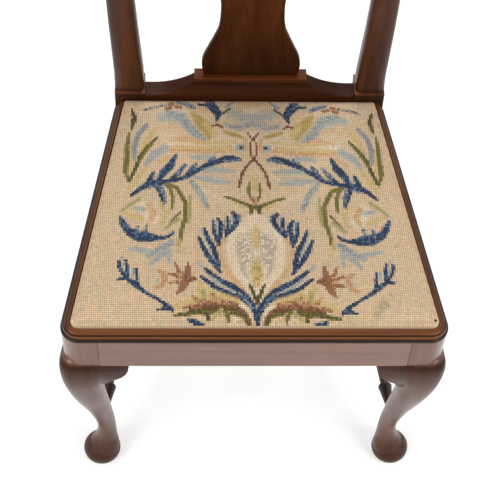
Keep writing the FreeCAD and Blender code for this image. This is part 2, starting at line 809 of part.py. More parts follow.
def slip_tenon_box(y0, y1, play):
    x0 = side_x(y0 + slip_tenon, slip_inset) - slip_width + 10 - play
    z0 = slip_low + slip_third - play
    z1 = slip_high - slip_third + play
    return box(x0, x0 + slip_width - 24 + 2 * play, y0, y1, z0, z1)


front_pin = slip_tenon_box(front_line - slip_tenon, front_line + 2, 0)
rear_pin = slip_tenon_box(rear_line - 2, rear_line + slip_tenon, 0)
front_pocket = slip_tenon_box(front_line - slip_tenon, front_line + 2, fit)
front_pocket = front_pocket.fuse(front_pocket.translated(V(0, -end_play, 0)))
rear_pocket = slip_tenon_box(rear_line - 2, rear_line + slip_tenon, fit)
rear_pocket = rear_pocket.fuse(rear_pocket.translated(V(0, end_play, 0)))
side_zone = plan_prism(
    [
        (slip_inner(front_line), front_line),
        (wide, front_line),
        (wide, rear_line),
        (slip_inner(rear_line), rear_line),
    ],
    slip_low,
    slip_high,
)
slip_right = slip_plan.common(side_zone).fuse(front_pin).fuse(rear_pin)
slip_front = slip_plan.common(box(-wide, wide, 0, front_line, slip_low, slip_high))
slip_front = slip_front.cut(front_pocket).cut(mirrored(front_pocket))
slip_rear = slip_plan.common(box(-wide, wide, rear_line, stile_front, slip_low, slip_high))
slip_rear = slip_rear.cut(rear_pocket).cut(mirrored(rear_pocket))

# Tacks hold the cover's hem up against the frame.
tack_head = 3.5
tack_head_thickness = 1.0
tack_shank = 0.9
tack_length = 7.0
tack_line = cover_inset + tack_inset
tack_spots = []
for share in (-0.6, -0.3, 0.0, 0.3, 0.6):
    tack_spots.append((share * side_x(tack_line, tack_line), tack_line))
for share in (-0.6, -0.2, 0.2, 0.6):
    rear_tack_y = stile_front - tack_line + rim_width
    tack_spots.append((share * side_x(rear_tack_y, tack_line), rear_tack_y))
for share in (0.25, 0.42, 0.58, 0.75):
    y = share * stile_front
    tack_spots.append((side_x(y, tack_line), y))
    tack_spots.append((-side_x(y, tack_line), y))
tacks = []
tack_holes = []
head_sides = 6
for x, y in tack_spots:
    head_points = []
    for i in range(head_sides):
        turn = 2 * math.pi * (i + 0.5) / head_sides
        head_points.append((x + tack_head * math.cos(turn), y + tack_head * math.sin(turn)))
    head = plan_prism(head_points, hem_low - tack_head_thickness, hem_low)
    half = tack_shank
    shank = box(x - half, x + half, y - half, y + half, hem_low - 0.2, hem_low + tack_length)
    tacks.append(head.fuse(shank).removeSplitter())
    half = tack_shank + fit / 2
    tack_holes.append(box(x - half, x + half, y - half, y + half, hem_low - 0.5, hem_low + tack_length + 1))
holes = Part.makeCompound(tack_holes)
pieces["slip_front"] = one(slip_front.cut(holes))
pieces["slip_rear"] = one(slip_rear.cut(holes))
pieces["slip_right"] = one(slip_right.cut(holes))
pieces["slip_left"] = mirrored(pieces["slip_right"])
pieces["cover_tacks"] = Part.makeCompound(tacks)

# Webbing: three straps from front to back with three more across them, then the sackcloth.
strap_inset = slip_inset + 8
strap_low = slip_high
strap_middle = strap_low + strap_thickness
strap_high = strap_middle + strap_thickness
strap_front = strap_inset
strap_rear = stile_front - (strap_inset - rim_width)
straps = []
for share in (-0.42, 0.0, 0.42):
    x = share * side_x(stile_front, slip_inset) * 1.2
    straps.append(
        box(x - strap_width / 2, x + strap_width / 2, strap_front, strap_rear, strap_low, strap_middle)
    )
for share in (0.22, 0.5, 0.78):
    y = strap_front + share * (strap_rear - strap_front)
    x = side_x(y + strap_width / 2, strap_inset)
    straps.append(box(-x, x, y - strap_width / 2, y + strap_width / 2, strap_middle, strap_high))
pieces["webbing"] = Part.makeCompound(straps)

sackcloth_high = strap_high + sackcloth_thickness
sackcloth_plan = Part.Face(seat_outline(slip_inset + 5, strap_high))
pieces["sackcloth"] = sackcloth_plan.extrude(V(0, 0, sackcloth_thickness))

# Cover and stuffing share one crowned form, rolled at the edges.
edge_low = slip_high + cover_thickness + fit
crown_top = sackcloth_high + cover_thickness + seat_crown
crown_steps = [
    (0.0, 0.0),
    (0.11, 0.5),
    (0.21, 1.8),
    (0.32, 5.0),
    (0.41, 10.5),
    (0.58, 30.0),
    (0.75, 62.0),
    (0.91, 108.0),
    (1.0, 152.0),
]


def crowned(base_z, grow):
    """The seat's form from base_z up, its skin moved in by grow, in flat facets."""
    outlines = [seat_outline(cover_inset + grow, base_z)]
    for share, inset in crown_steps:
        z = edge_low + share * (crown_top - edge_low) - grow
        outlines.append(seat_outline(cover_inset + inset + grow, z, inset))
    rings = [[vertex.Point for vertex in outline.OrderedVertexes] for outline in outlines]
    faces = [Part.Face(outlines[0]), Part.Face(outlines[-1])]
    for low, high in zip(rings, rings[1:]):
        for i in range(len(low)):
            faces.append(Part.Face(Part.makePolygon([low[i - 1], low[i], high[i], high[i - 1], low[i - 1]])))
    return Part.Solid(Part.Shell(faces))


outer = crowned(hem_low, 0.0)
inner = crowned(slip_low, cover_thickness)
hem_room = Part.Face(seat_outline(cover_inset + hem_width, hem_low - 1)).extrude(V(0, 0, 6))
cover = outer.cut(inner).cut(hem_room)
pieces["needlework_cover"] = one(cover.cut(holes))
stuffing = crowned(slip_low, cover_thickness + fit)
above = box(-wide, wide, 0, stile_front, sackcloth_high, crown_top + 20)
pieces["hair_stuffing"] = one(stuffing.common(above))

# Move the whole chair so that the origin lies on the floor under the middle of its depth.
whole = Part.makeCompound(list(pieces.values())).optimalBoundingBox(True, False)
to_middle = V(0, -(whole.YMin + whole.YMax) / 2, 0)
os.makedirs("parts", exist_ok=True)
for name, shape in pieces.items():
    shape.translated(to_middle).exportStep("parts/" + name + ".step")
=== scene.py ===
import math

import bmesh
import bpy
import numpy as np
from mathutils import Matrix, Vector


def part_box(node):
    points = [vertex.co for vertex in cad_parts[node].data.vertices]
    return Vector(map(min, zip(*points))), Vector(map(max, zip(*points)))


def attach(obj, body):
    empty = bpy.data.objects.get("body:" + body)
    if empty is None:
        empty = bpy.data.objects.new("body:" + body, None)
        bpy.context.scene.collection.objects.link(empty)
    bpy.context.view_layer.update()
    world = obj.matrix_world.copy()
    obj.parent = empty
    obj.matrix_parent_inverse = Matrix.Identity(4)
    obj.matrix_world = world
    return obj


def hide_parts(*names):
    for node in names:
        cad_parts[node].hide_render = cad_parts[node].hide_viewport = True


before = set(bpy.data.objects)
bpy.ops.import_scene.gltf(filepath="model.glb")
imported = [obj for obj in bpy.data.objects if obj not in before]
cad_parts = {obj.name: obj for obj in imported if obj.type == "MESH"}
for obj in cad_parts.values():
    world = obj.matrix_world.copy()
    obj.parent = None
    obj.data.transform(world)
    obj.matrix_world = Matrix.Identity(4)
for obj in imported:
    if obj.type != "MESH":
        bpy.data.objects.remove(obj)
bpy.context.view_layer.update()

# Front legs. Each is sawn and spokeshaved from one block of mahogany: a corner post that takes the
# rails' tenons, a swelling knee, a slender ankle and a bulbous pad foot, waxed to a soft gloss.
# Sizes are in millimetres from the front rail's face, as the joiner's rod has them.
rail_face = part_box("front_rail")[0].y
rail_low = 340.0
rail_top = 402.0
seat_half = 275.8
seat_rear_half = 209.0
seat_back = 431.0
side_lean = (seat_half - seat_rear_half) / seat_back
side_slope = math.sqrt(1 + side_lean * side_lean)
leg_y = 27.0
leg_x = 244.615
post_reach = 25.3
post_in = leg_x - post_reach
post_back = leg_y + post_reach
post_round = 26.0
knee_low = 268.6
lean_from = 0.5
leg_sides = 48
pad_round = 29.6
pad_level = 19.0
pad_in, pad_behind = 11.5, 16.5
pad_below, pad_sweep = 52, 115
pad_bands = 16
# Each row is a height, the leg's reach outward and inward there, and how square its section is.
leg_shape = [
    (347.0, 22.0, 24.0, 3.0),
    (340.0, 28.5, 38.3, 3.0),
    (328.0, 33.0, 38.3, 3.0),
    (302.6, 33.3, 35.0, 3.0),
    (knee_low, 29.5, 25.3, 2.8),
    (217.6, 19.8, 26.2, 2.5),
    (153.0, 3.6, 31.7, 2.2),
    (95.2, -6.8, 35.7, 2.0),
    (59.5, -4.2, 37.0, 2.0),
    (37.4, 6.0, 39.3, 2.0),
    (18.7, 11.5, 39.0, 2.0),
]


def spot(x, y, z):
    """A place on the joiner's rod, in metres."""
    return Vector((x / 1000, rail_face + y / 1000, z / 1000))


def side_x(y, inset=0.0):
    return seat_half - side_lean * y - inset * side_slope


def fair_curve(rows, t):
    """Row t of a fair curve through the rows, t counting rows."""
    i = min(int(t), len(rows) - 2)
    u = t - i
    near = (min(max(k, 0), len(rows) - 1) for k in (i - 1, i, i + 1, i + 2))
    a, b, c, d = (np.array(rows[k], float) for k in near)
    return 0.5 * (2 * b + (c - a) * u + (2 * a - 5 * b + 4 * c - d) * u * u + (3 * b - a - 3 * c + d) * u**3)


def faired(rows, steps):
    """The fair curve through the rows, in so many steps from each row to the next."""
    return [fair_curve(rows, step / steps) for step in range(steps * (len(rows) - 1) + 1)]


def draw_through(bm, rings):
    """Extrudes one closed ring of edges through all the rings and closes both ends."""
    ring = bmesh.ops.create_circle(bm, segments=len(rings[0]), radius=1)["verts"]
    loop = [e for e in bm.edges if e.verts[0] in ring and e.verts[1] in ring]
    for vert, place in zip(ring, rings[0]):
        vert.co = place
    bmesh.ops.edgeloop_fill(bm, edges=loop)
    for places in rings[1:]:
        drawn = bmesh.ops.extrude_edge_only(bm, edges=loop)["geom"]
        fresh = {g for g in drawn if isinstance(g, bmesh.types.BMVert)}
        ring = [next(e.other_vert(v) for e in v.link_edges if e.other_vert(v) in fresh) for v in ring]
        loop = [g for g in drawn if isinstance(g, bmesh.types.BMEdge) and set(g.verts) <= fresh]
        for vert, place in zip(ring, places):
            vert.co = place
    bmesh.ops.edgeloop_fill(bm, edges=loop)


def add_node(tree, kind, **inputs):
    node = tree.nodes.new(kind)
    for name, value in inputs.items():
        node.inputs[name.replace("_", " ")].default_value = value
    return node


def maths(tree, operation, *sources):
    """What a Math node makes of other nodes' outputs or plain numbers."""
    node = tree.nodes.new("ShaderNodeMath")
    node.operation = operation
    for socket, source in zip(node.inputs, sources):
        if isinstance(source, float):
            socket.default_value = source
        else:
            tree.links.new(source, socket)
    return node.outputs["Value"]


def mixed(tree, first, second, share=None):
    """One colour shading into another by a share, or with no share the first times the second."""
    mix = tree.nodes.new("ShaderNodeMix")
    mix.data_type = "RGBA"
    if share is None:
        mix.blend_type = "MULTIPLY"
        mix.inputs["Factor"].default_value = 1.0
    else:
        tree.links.new(share, mix.inputs["Factor"])
    if isinstance(first, tuple):
        mix.inputs["A"].default_value = (*first, 1)
    else:
        tree.links.new(first, mix.inputs["A"])
    tree.links.new(second, mix.inputs["B"])
    return mix.outputs["Result"]


def shader_group(name, takes, gives):
    """A node group with its named sockets, its start and its end."""
    group = bpy.data.node_groups.new(name, "ShaderNodeTree")
    for way, sockets in (("INPUT", takes), ("OUTPUT", gives)):
        for socket, kind in sockets.items():
            group.interface.new_socket(socket, in_out=way, socket_type=f"NodeSocket{kind}")
    return group, group.nodes.new("NodeGroupInput"), group.nodes.new("NodeGroupOutput")


def figure_group():
    """Brown figure, dark pores along the grain, and the uneven shine of old wax."""
    group, start, end = shader_group(
        "mahogany_figure",
        {"Along": "Vector", "Across": "Vector", "Dark": "Color", "Warm": "Color"},
        {"Color": "Color", "Roughness": "Float", "Height": "Float"},
    )
    link = group.links.new
    figure = add_node(group, "ShaderNodeTexNoise", Scale=38.0, Detail=4.0, Roughness=0.6, Distortion=0.7)
    streak = add_node(group, "ShaderNodeTexNoise", Scale=260.0, Detail=3.0, Roughness=0.65)
    pores = add_node(group, "ShaderNodeTexNoise", Scale=1100.0, Detail=1.0, Roughness=0.5)
    wax = add_node(group, "ShaderNodeTexNoise", Scale=24.0, Detail=5.0, Roughness=0.62)
    for node in (figure, streak, pores):
        link(start.outputs["Along"], node.inputs["Vector"])
    link(start.outputs["Across"], wax.inputs["Vector"])
    spread = add_node(group, "ShaderNodeMapRange", From_Min=0.36, From_Max=0.64)
    lines = add_node(group, "ShaderNodeMapRange", From_Min=0.3, From_Max=0.7, To_Min=0.86, To_Max=1.1)
    pits = add_node(group, "ShaderNodeMapRange", From_Min=0.36, From_Max=0.46, To_Min=0.82, To_Max=1.0)
    gloss = add_node(group, "ShaderNodeMapRange", From_Min=0.3, From_Max=0.7, To_Min=0.3, To_Max=0.46)
    for noise, ranged in ((figure, spread), (streak, lines), (pores, pits), (wax, gloss)):
        link(noise.outputs["Fac"], ranged.inputs["Value"])
    body = mixed(group, start.outputs["Dark"], start.outputs["Warm"], spread.outputs["Result"])
    shade = maths(group, "MULTIPLY", lines.outputs["Result"], pits.outputs["Result"])
    link(mixed(group, body, shade), end.inputs["Color"])
    link(gloss.outputs["Result"], end.inputs["Roughness"])
    link(shade, end.inputs["Height"])
    return group


def painted_light_and_wear_group():
    """Painted light and wear by height: a low tone darkens the wood and takes the shine off it, a tone above one
    lightens it.
    """
    group, start, end = shader_group(
        "painted_light_and_wear",
        {"Color": "Color", "Tone": "Color", "Coat": "Float"},
        {"Color": "Color", "Coat Weight": "Float"},
    )
    link = group.links.new
    link(mixed(group, start.outputs["Color"], start.outputs["Tone"]), end.inputs["Color"])
    waxed = add_node(group, "ShaderNodeMapRange", From_Min=0.3)
    link(start.outputs["Tone"], waxed.inputs["Value"])
    link(start.outputs["Coat"], waxed.inputs["To Max"])
    link(waxed.outputs["Result"], end.inputs["Coat Weight"])
    return group


wood_figure = figure_group()
painted_light_and_wear = painted_light_and_wear_group()
# The seat rails' mahogany, made paler and pinker than the legs and back: part of this colour is a painted sheen,
# the sheen of waxed rails seen from high in front.
rail_dark_with_painted_sheen, rail_warm_with_painted_sheen = (0.148, 0.057, 0.0285), (0.198, 0.079, 0.0385)


def timber(name, grain, dark=rail_dark_with_painted_sheen, warm=rail_warm_with_painted_sheen, coat=0.6, shine=0.5, tones=None):
    """Wood whose grain runs along the axis that grain squeezes most. Tones may darken or lighten it by
    height and dull its coat where they are low, as tones gives them: heights in metres and the tone at
    each. They paint shade and highlights on the wood, and on some arrises its wear as well."""
    material = bpy.data.materials.new(name)
    material.use_nodes = True
    tree = material.node_tree
    link = tree.links.new
    principled = tree.nodes["Principled BSDF"]
    principled.inputs["IOR"].default_value = 1.5
    principled.inputs["Coat Weight"].default_value = coat
    principled.inputs["Coat Roughness"].default_value = 0.25
    principled.inputs["Specular IOR Level"].default_value = shine
    place = tree.nodes.new("ShaderNodeTexCoord")
    turn = add_node(tree, "ShaderNodeMapping", Scale=grain)
    wood = tree.nodes.new("ShaderNodeGroup")
    wood.node_tree = wood_figure
    wood.inputs["Dark"].default_value = (*dark, 1)
    wood.inputs["Warm"].default_value = (*warm, 1)
    bump = add_node(tree, "ShaderNodeBump", Strength=0.12, Distance=0.0004)
    link(place.outputs["Object"], turn.inputs["Vector"])
    link(turn.outputs["Vector"], wood.inputs["Along"])
    link(place.outputs["Object"], wood.inputs["Across"])
    colour = wood.outputs["Color"]
    # Painted shade and painted highlights by height, with wear on some arrises: the tones multiply the wood's
    # colour and set how much coat it keeps.
    if tones:
        (low_z, low_tone), (high_z, high_tone) = tones[0], tones[-1]
        apart = tree.nodes.new("ShaderNodeSeparateXYZ")
        link(place.outputs["Object"], apart.inputs["Vector"])
        height = add_node(tree, "ShaderNodeMapRange", From_Min=low_z, From_Max=high_z)
        link(apart.outputs["Z"], height.inputs["Value"])
        painted_light_and_wear_ramp = tree.nodes.new("ShaderNodeValToRGB")
        stops = painted_light_and_wear_ramp.color_ramp.elements
        stops[0].color = (low_tone, low_tone, low_tone, 1)
        stops[1].color = (high_tone, high_tone, high_tone, 1)
        for z, tone in tones[1:-1]:
            stops.new((z - low_z) / (high_z - low_z)).color = (tone, tone, tone, 1)
        link(height.outputs["Result"], painted_light_and_wear_ramp.inputs["Fac"])
        wax = tree.nodes.new("ShaderNodeGroup")
        wax.node_tree = painted_light_and_wear
        wax.inputs["Coat"].default_value = coat
        link(colour, wax.inputs["Color"])
        link(painted_light_and_wear_ramp.outputs["Color"], wax.inputs["Tone"])
        if coat:
            link(wax.outputs["Coat Weight"], principled.inputs["Coat Weight"])
        colour = wax.outputs["Color"]
    link(colour, principled.inputs["Base Color"])
    link(wood.outputs["Roughness"], principled.inputs["Roughness"])
    link(wood.outputs["Height"], bump.inputs["Height"])
    link(bump.outputs["Normal"], principled.inputs["Normal"])
    return material


def put_in(mesh, name, material, body, slot, *nodes, crease=32):
    """Sets a finished piece in the chair in place of its solids."""
    mesh.name = name
    mesh.polygons.foreach_set("use_smooth", [True] * len(mesh.polygons))
    mesh.set_sharp_from_angle(angle=math.radians(crease))
    mesh.materials.clear()
    mesh.materials.append(material)
    piece = bpy.data.objects.new(name, mesh)
    bpy.context.scene.collection.objects.link(piece)
    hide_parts(*nodes)
    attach(piece, body)
    return piece


def as_mesh(bm):
    bmesh.ops.recalc_face_normals(bm, faces=bm.faces)
    mesh = bpy.data.meshes.new("shape")
    bm.to_mesh(mesh)
    bm.free()
    return mesh


def other_hand(mesh):
    """The same piece for the other side of the chair."""
    bm = bmesh.new()
    bm.from_mesh(mesh)
    bmesh.ops.scale(bm, vec=(-1, 1, 1), verts=bm.verts)
    bmesh.ops.reverse_faces(bm, faces=bm.faces)
    twin = bpy.data.meshes.new("shape")
    bm.to_mesh(twin)
    bm.free()
    return twin


def put_pair(mesh, name, material, node):
    """Sets the right-hand piece in the frame, and its twin on the left."""
    put_in(other_hand(mesh), f"{name}_left", material, "chair_frame", "mahogany", f"{node}_left")
    put_in(mesh, f"{name}_right", material, "chair_frame", "mahogany", f"{node}_right")


def leg_ring(z, outer, inner, squareness):
    half = (outer + inner) / 2
    shift = (outer - inner) / 2
    lean = side_lean * max(0.0, z / rail_low - lean_from) / lean_from
    ring = []
    for i in range(leg_sides):
        turn = 2 * math.pi * (i + 0.5) / leg_sides
        across = math.copysign(abs(math.cos(turn)) ** (2 / squareness), math.cos(turn))
        behind = math.copysign(abs(math.sin(turn)) ** (2 / squareness), math.sin(turn))
        x = leg_x + shift + half * across - lean * half * behind * (1 + across) / 2
        y = leg_y - shift + half * behind
        if z >= knee_low:
            x = max(x, post_in)
            y = min(y, post_back)
        ring.append(spot(x, y, z))
    return ring


carved = bmesh.new()
draw_through(carved, [leg_ring(*row) for row in faired(leg_shape, 6)])
turns = [2 * math.pi * i / leg_sides for i in range(leg_sides)]
pad_rings = []
for band in range(pad_bands + 1):
    lean = math.radians(-pad_below + pad_sweep * band / pad_bands)
    z = pad_level * (1 + math.sin(lean) / math.sin(math.radians(pad_below)))
    reach = pad_round * math.cos(lean)
    pad_x, pad_y = leg_x - pad_in, leg_y + pad_behind
    pad_rings.append([spot(pad_x + reach * math.cos(a), pad_y + reach * math.sin(a), z) for a in turns])
draw_through(carved, pad_rings)
rough_leg = bpy.data.objects.new("rough_leg", as_mesh(carved))
bpy.context.scene.collection.objects.link(rough_leg)
shaping = rough_leg.modifiers.new("shaping", "REMESH")
shaping.mode = "VOXEL"
shaping.voxel_size = 0.0016
fairing = rough_leg.modifiers.new("fairing", "SMOOTH")
fairing.iterations = 7
shaped = rough_leg.evaluated_get(bpy.context.evaluated_depsgraph_get())
leg_mesh = bpy.data.meshes.new_from_object(shaped)
bpy.data.objects.remove(rough_leg)
leg = bmesh.new()
leg.from_mesh(leg_mesh)
for vert in leg.verts:
    vert.co.z = max(vert.co.z, 0.0)


def rounded_ring(corners, radii, z, steps=8):
    """A ring through plan corners, each rounded by its own radius."""
    ring = []
    for i, (x, y) in enumerate(corners):
        here = Vector((x, y, 0))
        back = (Vector((*corners[i - 1], 0)) - here).normalized()
        ahead = (Vector((*corners[(i + 1) % len(corners)], 0)) - here).normalized()
        half = back.angle(ahead) / 2
        centre = here + (back + ahead).normalized() * (radii[i] / math.sin(half))
        spoke = here + back * (radii[i] / math.tan(half)) - centre
        for k in range(steps + 1):
            turn = (math.pi - 2 * half) * k / steps
            x = centre.x + spoke.x * math.cos(turn) - spoke.y * math.sin(turn)
            y = centre.y + spoke.x * math.sin(turn) + spoke.y * math.cos(turn)
            ring.append(spot(x, y, z))
    return ring


post_plan = [(post_in, 0), (side_x(0), 0), (side_x(post_back), post_back), (post_in, post_back)]
post_corners = [1.5, post_round, 0.8, 0.8]
draw_through(leg, [rounded_ring(post_plan, post_corners, z) for z in (rail_low, rail_top)])
leg_mesh = as_mesh(leg)
# Painted shade by height: darkest just under the rails, where the knee and the knee ears lie in the rails'
# shadow, darker again towards the foot, and full colour on the post.
leg_painted_shade = [
    (0.0, 0.4), (0.03, 0.42), (0.065, 0.72), (0.2, 0.8), (0.28, 0.58), (0.325, 0.38), (0.339, 0.28), (0.344, 1.0),
]
leg_dark, leg_warm = (0.108, 0.037, 0.0165), (0.175, 0.062, 0.027)
upright = timber("mahogany_upright", (1, 1, 0.045), leg_dark, leg_warm, 0.95, 0.12, leg_painted_shade)
put_pair(leg_mesh, "cabriole_leg", upright, "front_leg")

# Knee brackets. Small ears of mahogany sawn to a lobed outline, carved on to the knee's swell and
# glued up under the rails beside each knee.
ear_length = 41.0
ear_drop = 53.0
ear_depth = 22.0
ear_root = 5.0
right_ear_drop = ear_drop + 11.0
ear_fade = 0.8
ear_outline = [
    (0.0, 1.0), (0.2, 0.98), (0.3, 0.88), (0.4, 0.79), (0.55, 0.7), (0.75, 0.58), (0.9, 0.42),
    (0.97, 0.24), (1.0, 0.02),
]
ear_swell = [(0.0, 0.6), (12.0, 3.6), (26.0, 3.4), (35.0, 2.4), (44.0, 0.4), (55.0, -2.6)]


def ear_mesh(drop_most):
    """An ear with x away from the leg and y into the rail, its top at the rails' underside."""
    bm = bmesh.new()
    grid = bmesh.ops.create_grid(bm, x_segments=28, y_segments=16, size=0.5)["verts"]
    across, drop = zip(*ear_outline)
    depths, swells = zip(*ear_swell)
    for vert in grid:
        u = vert.co.x + 0.5
        v = 0.5 - vert.co.y
        down = v * drop_most * np.interp(u, across, drop)
        swell = np.interp(down, depths, swells) * (1.0 - ear_fade * u)
        vert.co = Vector((u * (ear_length + ear_root) - ear_root, -swell, -down)) / 1000
    back = bmesh.ops.extrude_face_region(bm, geom=bm.faces[:])["geom"]
    for vert in back:
        if isinstance(vert, bmesh.types.BMVert):
            vert.co.y = ear_depth / 1000
    return as_mesh(bm)


def set_ear(name, node, turn, at, flip, drop_most=ear_drop):
    ear = ear_mesh(drop_most)
    bm = bmesh.new()
    bm.from_mesh(other_hand(ear) if flip else ear)
    bmesh.ops.rotate(bm, matrix=Matrix.Rotation(turn, 3, "Z"), verts=bm.verts)
    bmesh.ops.translate(bm, vec=at, verts=bm.verts)
    put_in(as_mesh(bm), name, upright, "chair_frame", "mahogany", node, crease=40)


side_turn = math.pi / 2 + math.atan(side_lean)
front_spot = spot(post_in, 0, rail_low)
side_spot = spot(side_x(post_back), post_back, rail_low)
to_left = Vector((-1, 1, 1))
set_ear("knee_ear_front_right", "knee_bracket_front_right", 0.0, front_spot, True, right_ear_drop)
set_ear("knee_ear_front_left", "knee_bracket_front_left", 0.0, front_spot * to_left, False)
set_ear("knee_ear_side_right", "knee_bracket_side_right", side_turn, side_spot, False)
set_ear("knee_ear_side_left", "knee_bracket_side_left", -side_turn, side_spot * to_left, True)

# Seat rails. Four straight mahogany rails tenoned into the posts and stiles, with plain oak corner
# blocks and a batten glued inside, where the chair was never polished.
# The rails take the paler colours with their painted sheen.
along_x = timber("mahogany_across", (0.045, 1, 1))
along_y = timber("mahogany_deep", (1, 0.045, 1))


def refinish(material, *names):
    for name in names:
        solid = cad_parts[name]
        solid.data.materials.clear()
        solid.data.materials.append(material)


refinish(along_x, "front_rail")
refinish(along_y, "side_rail_left", "side_rail_right")
oak_dark, oak_warm = (0.2, 0.125, 0.066), (0.36, 0.25, 0.145)
plain_oak = timber("plain_oak", (1, 1, 0.06), oak_dark, oak_warm, 0.0, 0.2)
blocks = [f"glue_block_{place}_{hand}" for place in ("front", "side", "rear") for hand in ("left", "right")]
refinish(plain_oak, "seat_batten", *blocks)

# Rim. A small mahogany moulding glued round the top of the rails to hold the loose seat: a rounded
# lip, a fillet and a hollow, mitred at the rounded front corners.
rim_half = [
    (-13.0, 0.0), (-13.0, 15.2), (-12.7, 15.75), (-12.2, 16.0), (-11.3, 15.97), (-9.7, 15.75), (-8.1, 15.4),
    (-6.6, 14.9), (-5.4, 14.1), (-4.7, 13.1), (-4.4, 12.2), (-4.4, 11.4), (-3.1, 11.4), (-2.7, 9.4), (-2.2, 7.0),
    (-1.5, 5.0), (-0.5, 4.0), (0.5, 3.5), (0.8, 3.3), (0.8, 0.0),
]
corner_angle = math.radians(90) - math.atan(side_lean)
corner_run = post_round / math.tan(corner_angle / 2)
side_out = Vector((1, side_lean, 0)).normalized()
arc_centre = Vector((seat_half - corner_run, post_round, 0))
arc_turn = side_out.angle(Vector((0, -1, 0)))


def rim_ring(place, out):
    return [spot(place.x + out.x * reach, place.y + out.y * reach, rail_top + up) for reach, up in rim_half]


def arc_stop(share):
    turn = math.atan2(side_out.y, side_out.x) - arc_turn * share
    out = Vector((math.cos(turn), math.sin(turn), 0))
    return arc_centre + out * post_round, out


def rim_stops(first, last, steps=10):
    return [arc_stop(first + (last - first) * k / steps) for k in range(steps + 1)]


right_front = rim_stops(1.0, 0.5)
left_front = [(Vector((-p.x, p.y, 0)), Vector((-o.x, o.y, 0))) for p, o in right_front]
rim_dark, rim_warm = (0.112, 0.034, 0.0095), (0.2, 0.064, 0.019)
side_dark, side_warm = (0.076, 0.024, 0.0065), (0.136, 0.045, 0.013)
# Tones up the moulding: darker at the rail and in the quirk under the lip, partly dark old wax and partly painted
# shade, and lighter along the crest of the lip, a painted highlight.
rim_heights_of_wax_and_painted_light = [
    (0.0, 0.12), (3.4, 0.12), (5.4, 0.22), (7.2, 1.0), (9.6, 1.15), (10.7, 0.2), (11.8, 0.24), (13.1, 0.85),
    (15.7, 0.95), (16.0, 1.5),
]
rim_wax_and_painted_light = [(rail_top / 1000 + up / 1000, tone) for up, tone in rim_heights_of_wax_and_painted_light]
rim_across = timber("mahogany_rim_across", (0.045, 1, 1), rim_dark, rim_warm, 0.14, 0.16, rim_wax_and_painted_light)
rim_deep = timber("mahogany_rim_deep", (1, 0.045, 1), side_dark, side_warm, 0.14, 0.16, rim_wax_and_painted_light)
front_rim = bmesh.new()
draw_through(front_rim, [rim_ring(p, o) for p, o in left_front[::-1] + right_front])
put_in(as_mesh(front_rim), "rim_moulding_front", rim_across, "chair_frame", "mahogany", "rim_front")
side_rim = bmesh.new()
back_end = Vector((side_x(seat_back), seat_back, 0))
side_rings = [rim_ring(p, o) for p, o in rim_stops(0.5, 0.0)] + [rim_ring(back_end, side_out)]
for corner in side_rings[-1]:
    corner.y = rail_face + seat_back / 1000
draw_through(side_rim, side_rings)
rim_mesh = as_mesh(side_rim)
put_pair(rim_mesh, "rim_moulding", rim_deep, "rim")

# Rear legs. Leg and stile are one length of mahogany: swept back and square below, left full and
# square at the rails, then rounded over from a small stop up to the crest.
stile_x = 185.75
stile_y = seat_back + 21.5
block_top = 437.5
crest_low = 905.0
# Each row is a height, the section's shift outward and back there, its width, depth and edge round.
foot_rows = [
    (0.0, -11.5, 73.0, 38.0, 41.0, 2.0),
    (81.1, -9.6, 54.75, 36.5, 38.0, 2.0),
    (179.1, -6.0, 27.7, 36.5, 37.0, 2.0),
    (277.2, -1.5, 5.8, 41.5, 40.5, 2.0),
    (338.0, 0.0, 0.0, 46.5, 43.0, 1.6),
]
stile_rows = [
    (470.0, 0.8, 1.0, 45.0, 36.0, 13.0),
    (557.0, 6.56, 10.5, 43.0, 34.4, 13.0),
    (644.0, 12.3, 26.3, 41.3, 32.5, 13.0),
    (774.5, 20.96, 52.0, 40.2, 30.2, 13.0),
    (crest_low, 29.6, 80.0, 39.1, 28.0, 13.0),
]
stop_rows = [
    (block_top + 0.7, 0.3, 0.6, 45.4, 38.2, 9.0),
    (449.0, 0.5, 0.8, 45.2, 37.0, 11.5),
    stile_rows[0],
]
stile_spread, stile_rake, stile_wide = stile_rows[-1][1:4]


def stile_ring(z, x, y, width, depth, edge):
    x0, x1 = stile_x + x - width / 2, stile_x + x + width / 2
    y0, y1 = stile_y + y - depth / 2, stile_y + y + depth / 2
    return rounded_ring([(x0, y0), (x1, y0), (x1, y1), (x0, y1)], [edge] * 4, z, steps=6)


stile_rings = [stile_ring(*row) for row in faired(foot_rows, 6)]
stile_rings.append(stile_ring(block_top, *foot_rows[-1][1:]))
stile_rings += [stile_ring(*row) for row in faired(stop_rows, 5)[:-1]]
stile_rings += [stile_ring(*row) for row in faired(stile_rows, 8)]
stile = bmesh.new()
draw_through(stile, stile_rings)
stile_mesh = as_mesh(stile)
# Tones by height: the rear legs are darker below the seat, painted shade, and a light line runs round the stop's
# arris between darker bands, partly wear and partly a painted highlight.
stile_painted_light_and_wear = [
    (0.42, 0.7), (0.4355, 0.6), (0.4367, 1.9), (0.4379, 1.9), (0.4393, 0.5), (0.45, 1.0), (0.47, 1.0),
]
stile_dark, stile_warm = (0.042, 0.0118, 0.0038), (0.085, 0.0255, 0.0078)
back_upright = timber("mahogany_stile", (1, 1, 0.045), stile_dark, stile_warm, 0.15, 0.2, stile_painted_light_and_wear)
put_pair(stile_mesh, "back_leg", back_upright, "rear_leg")

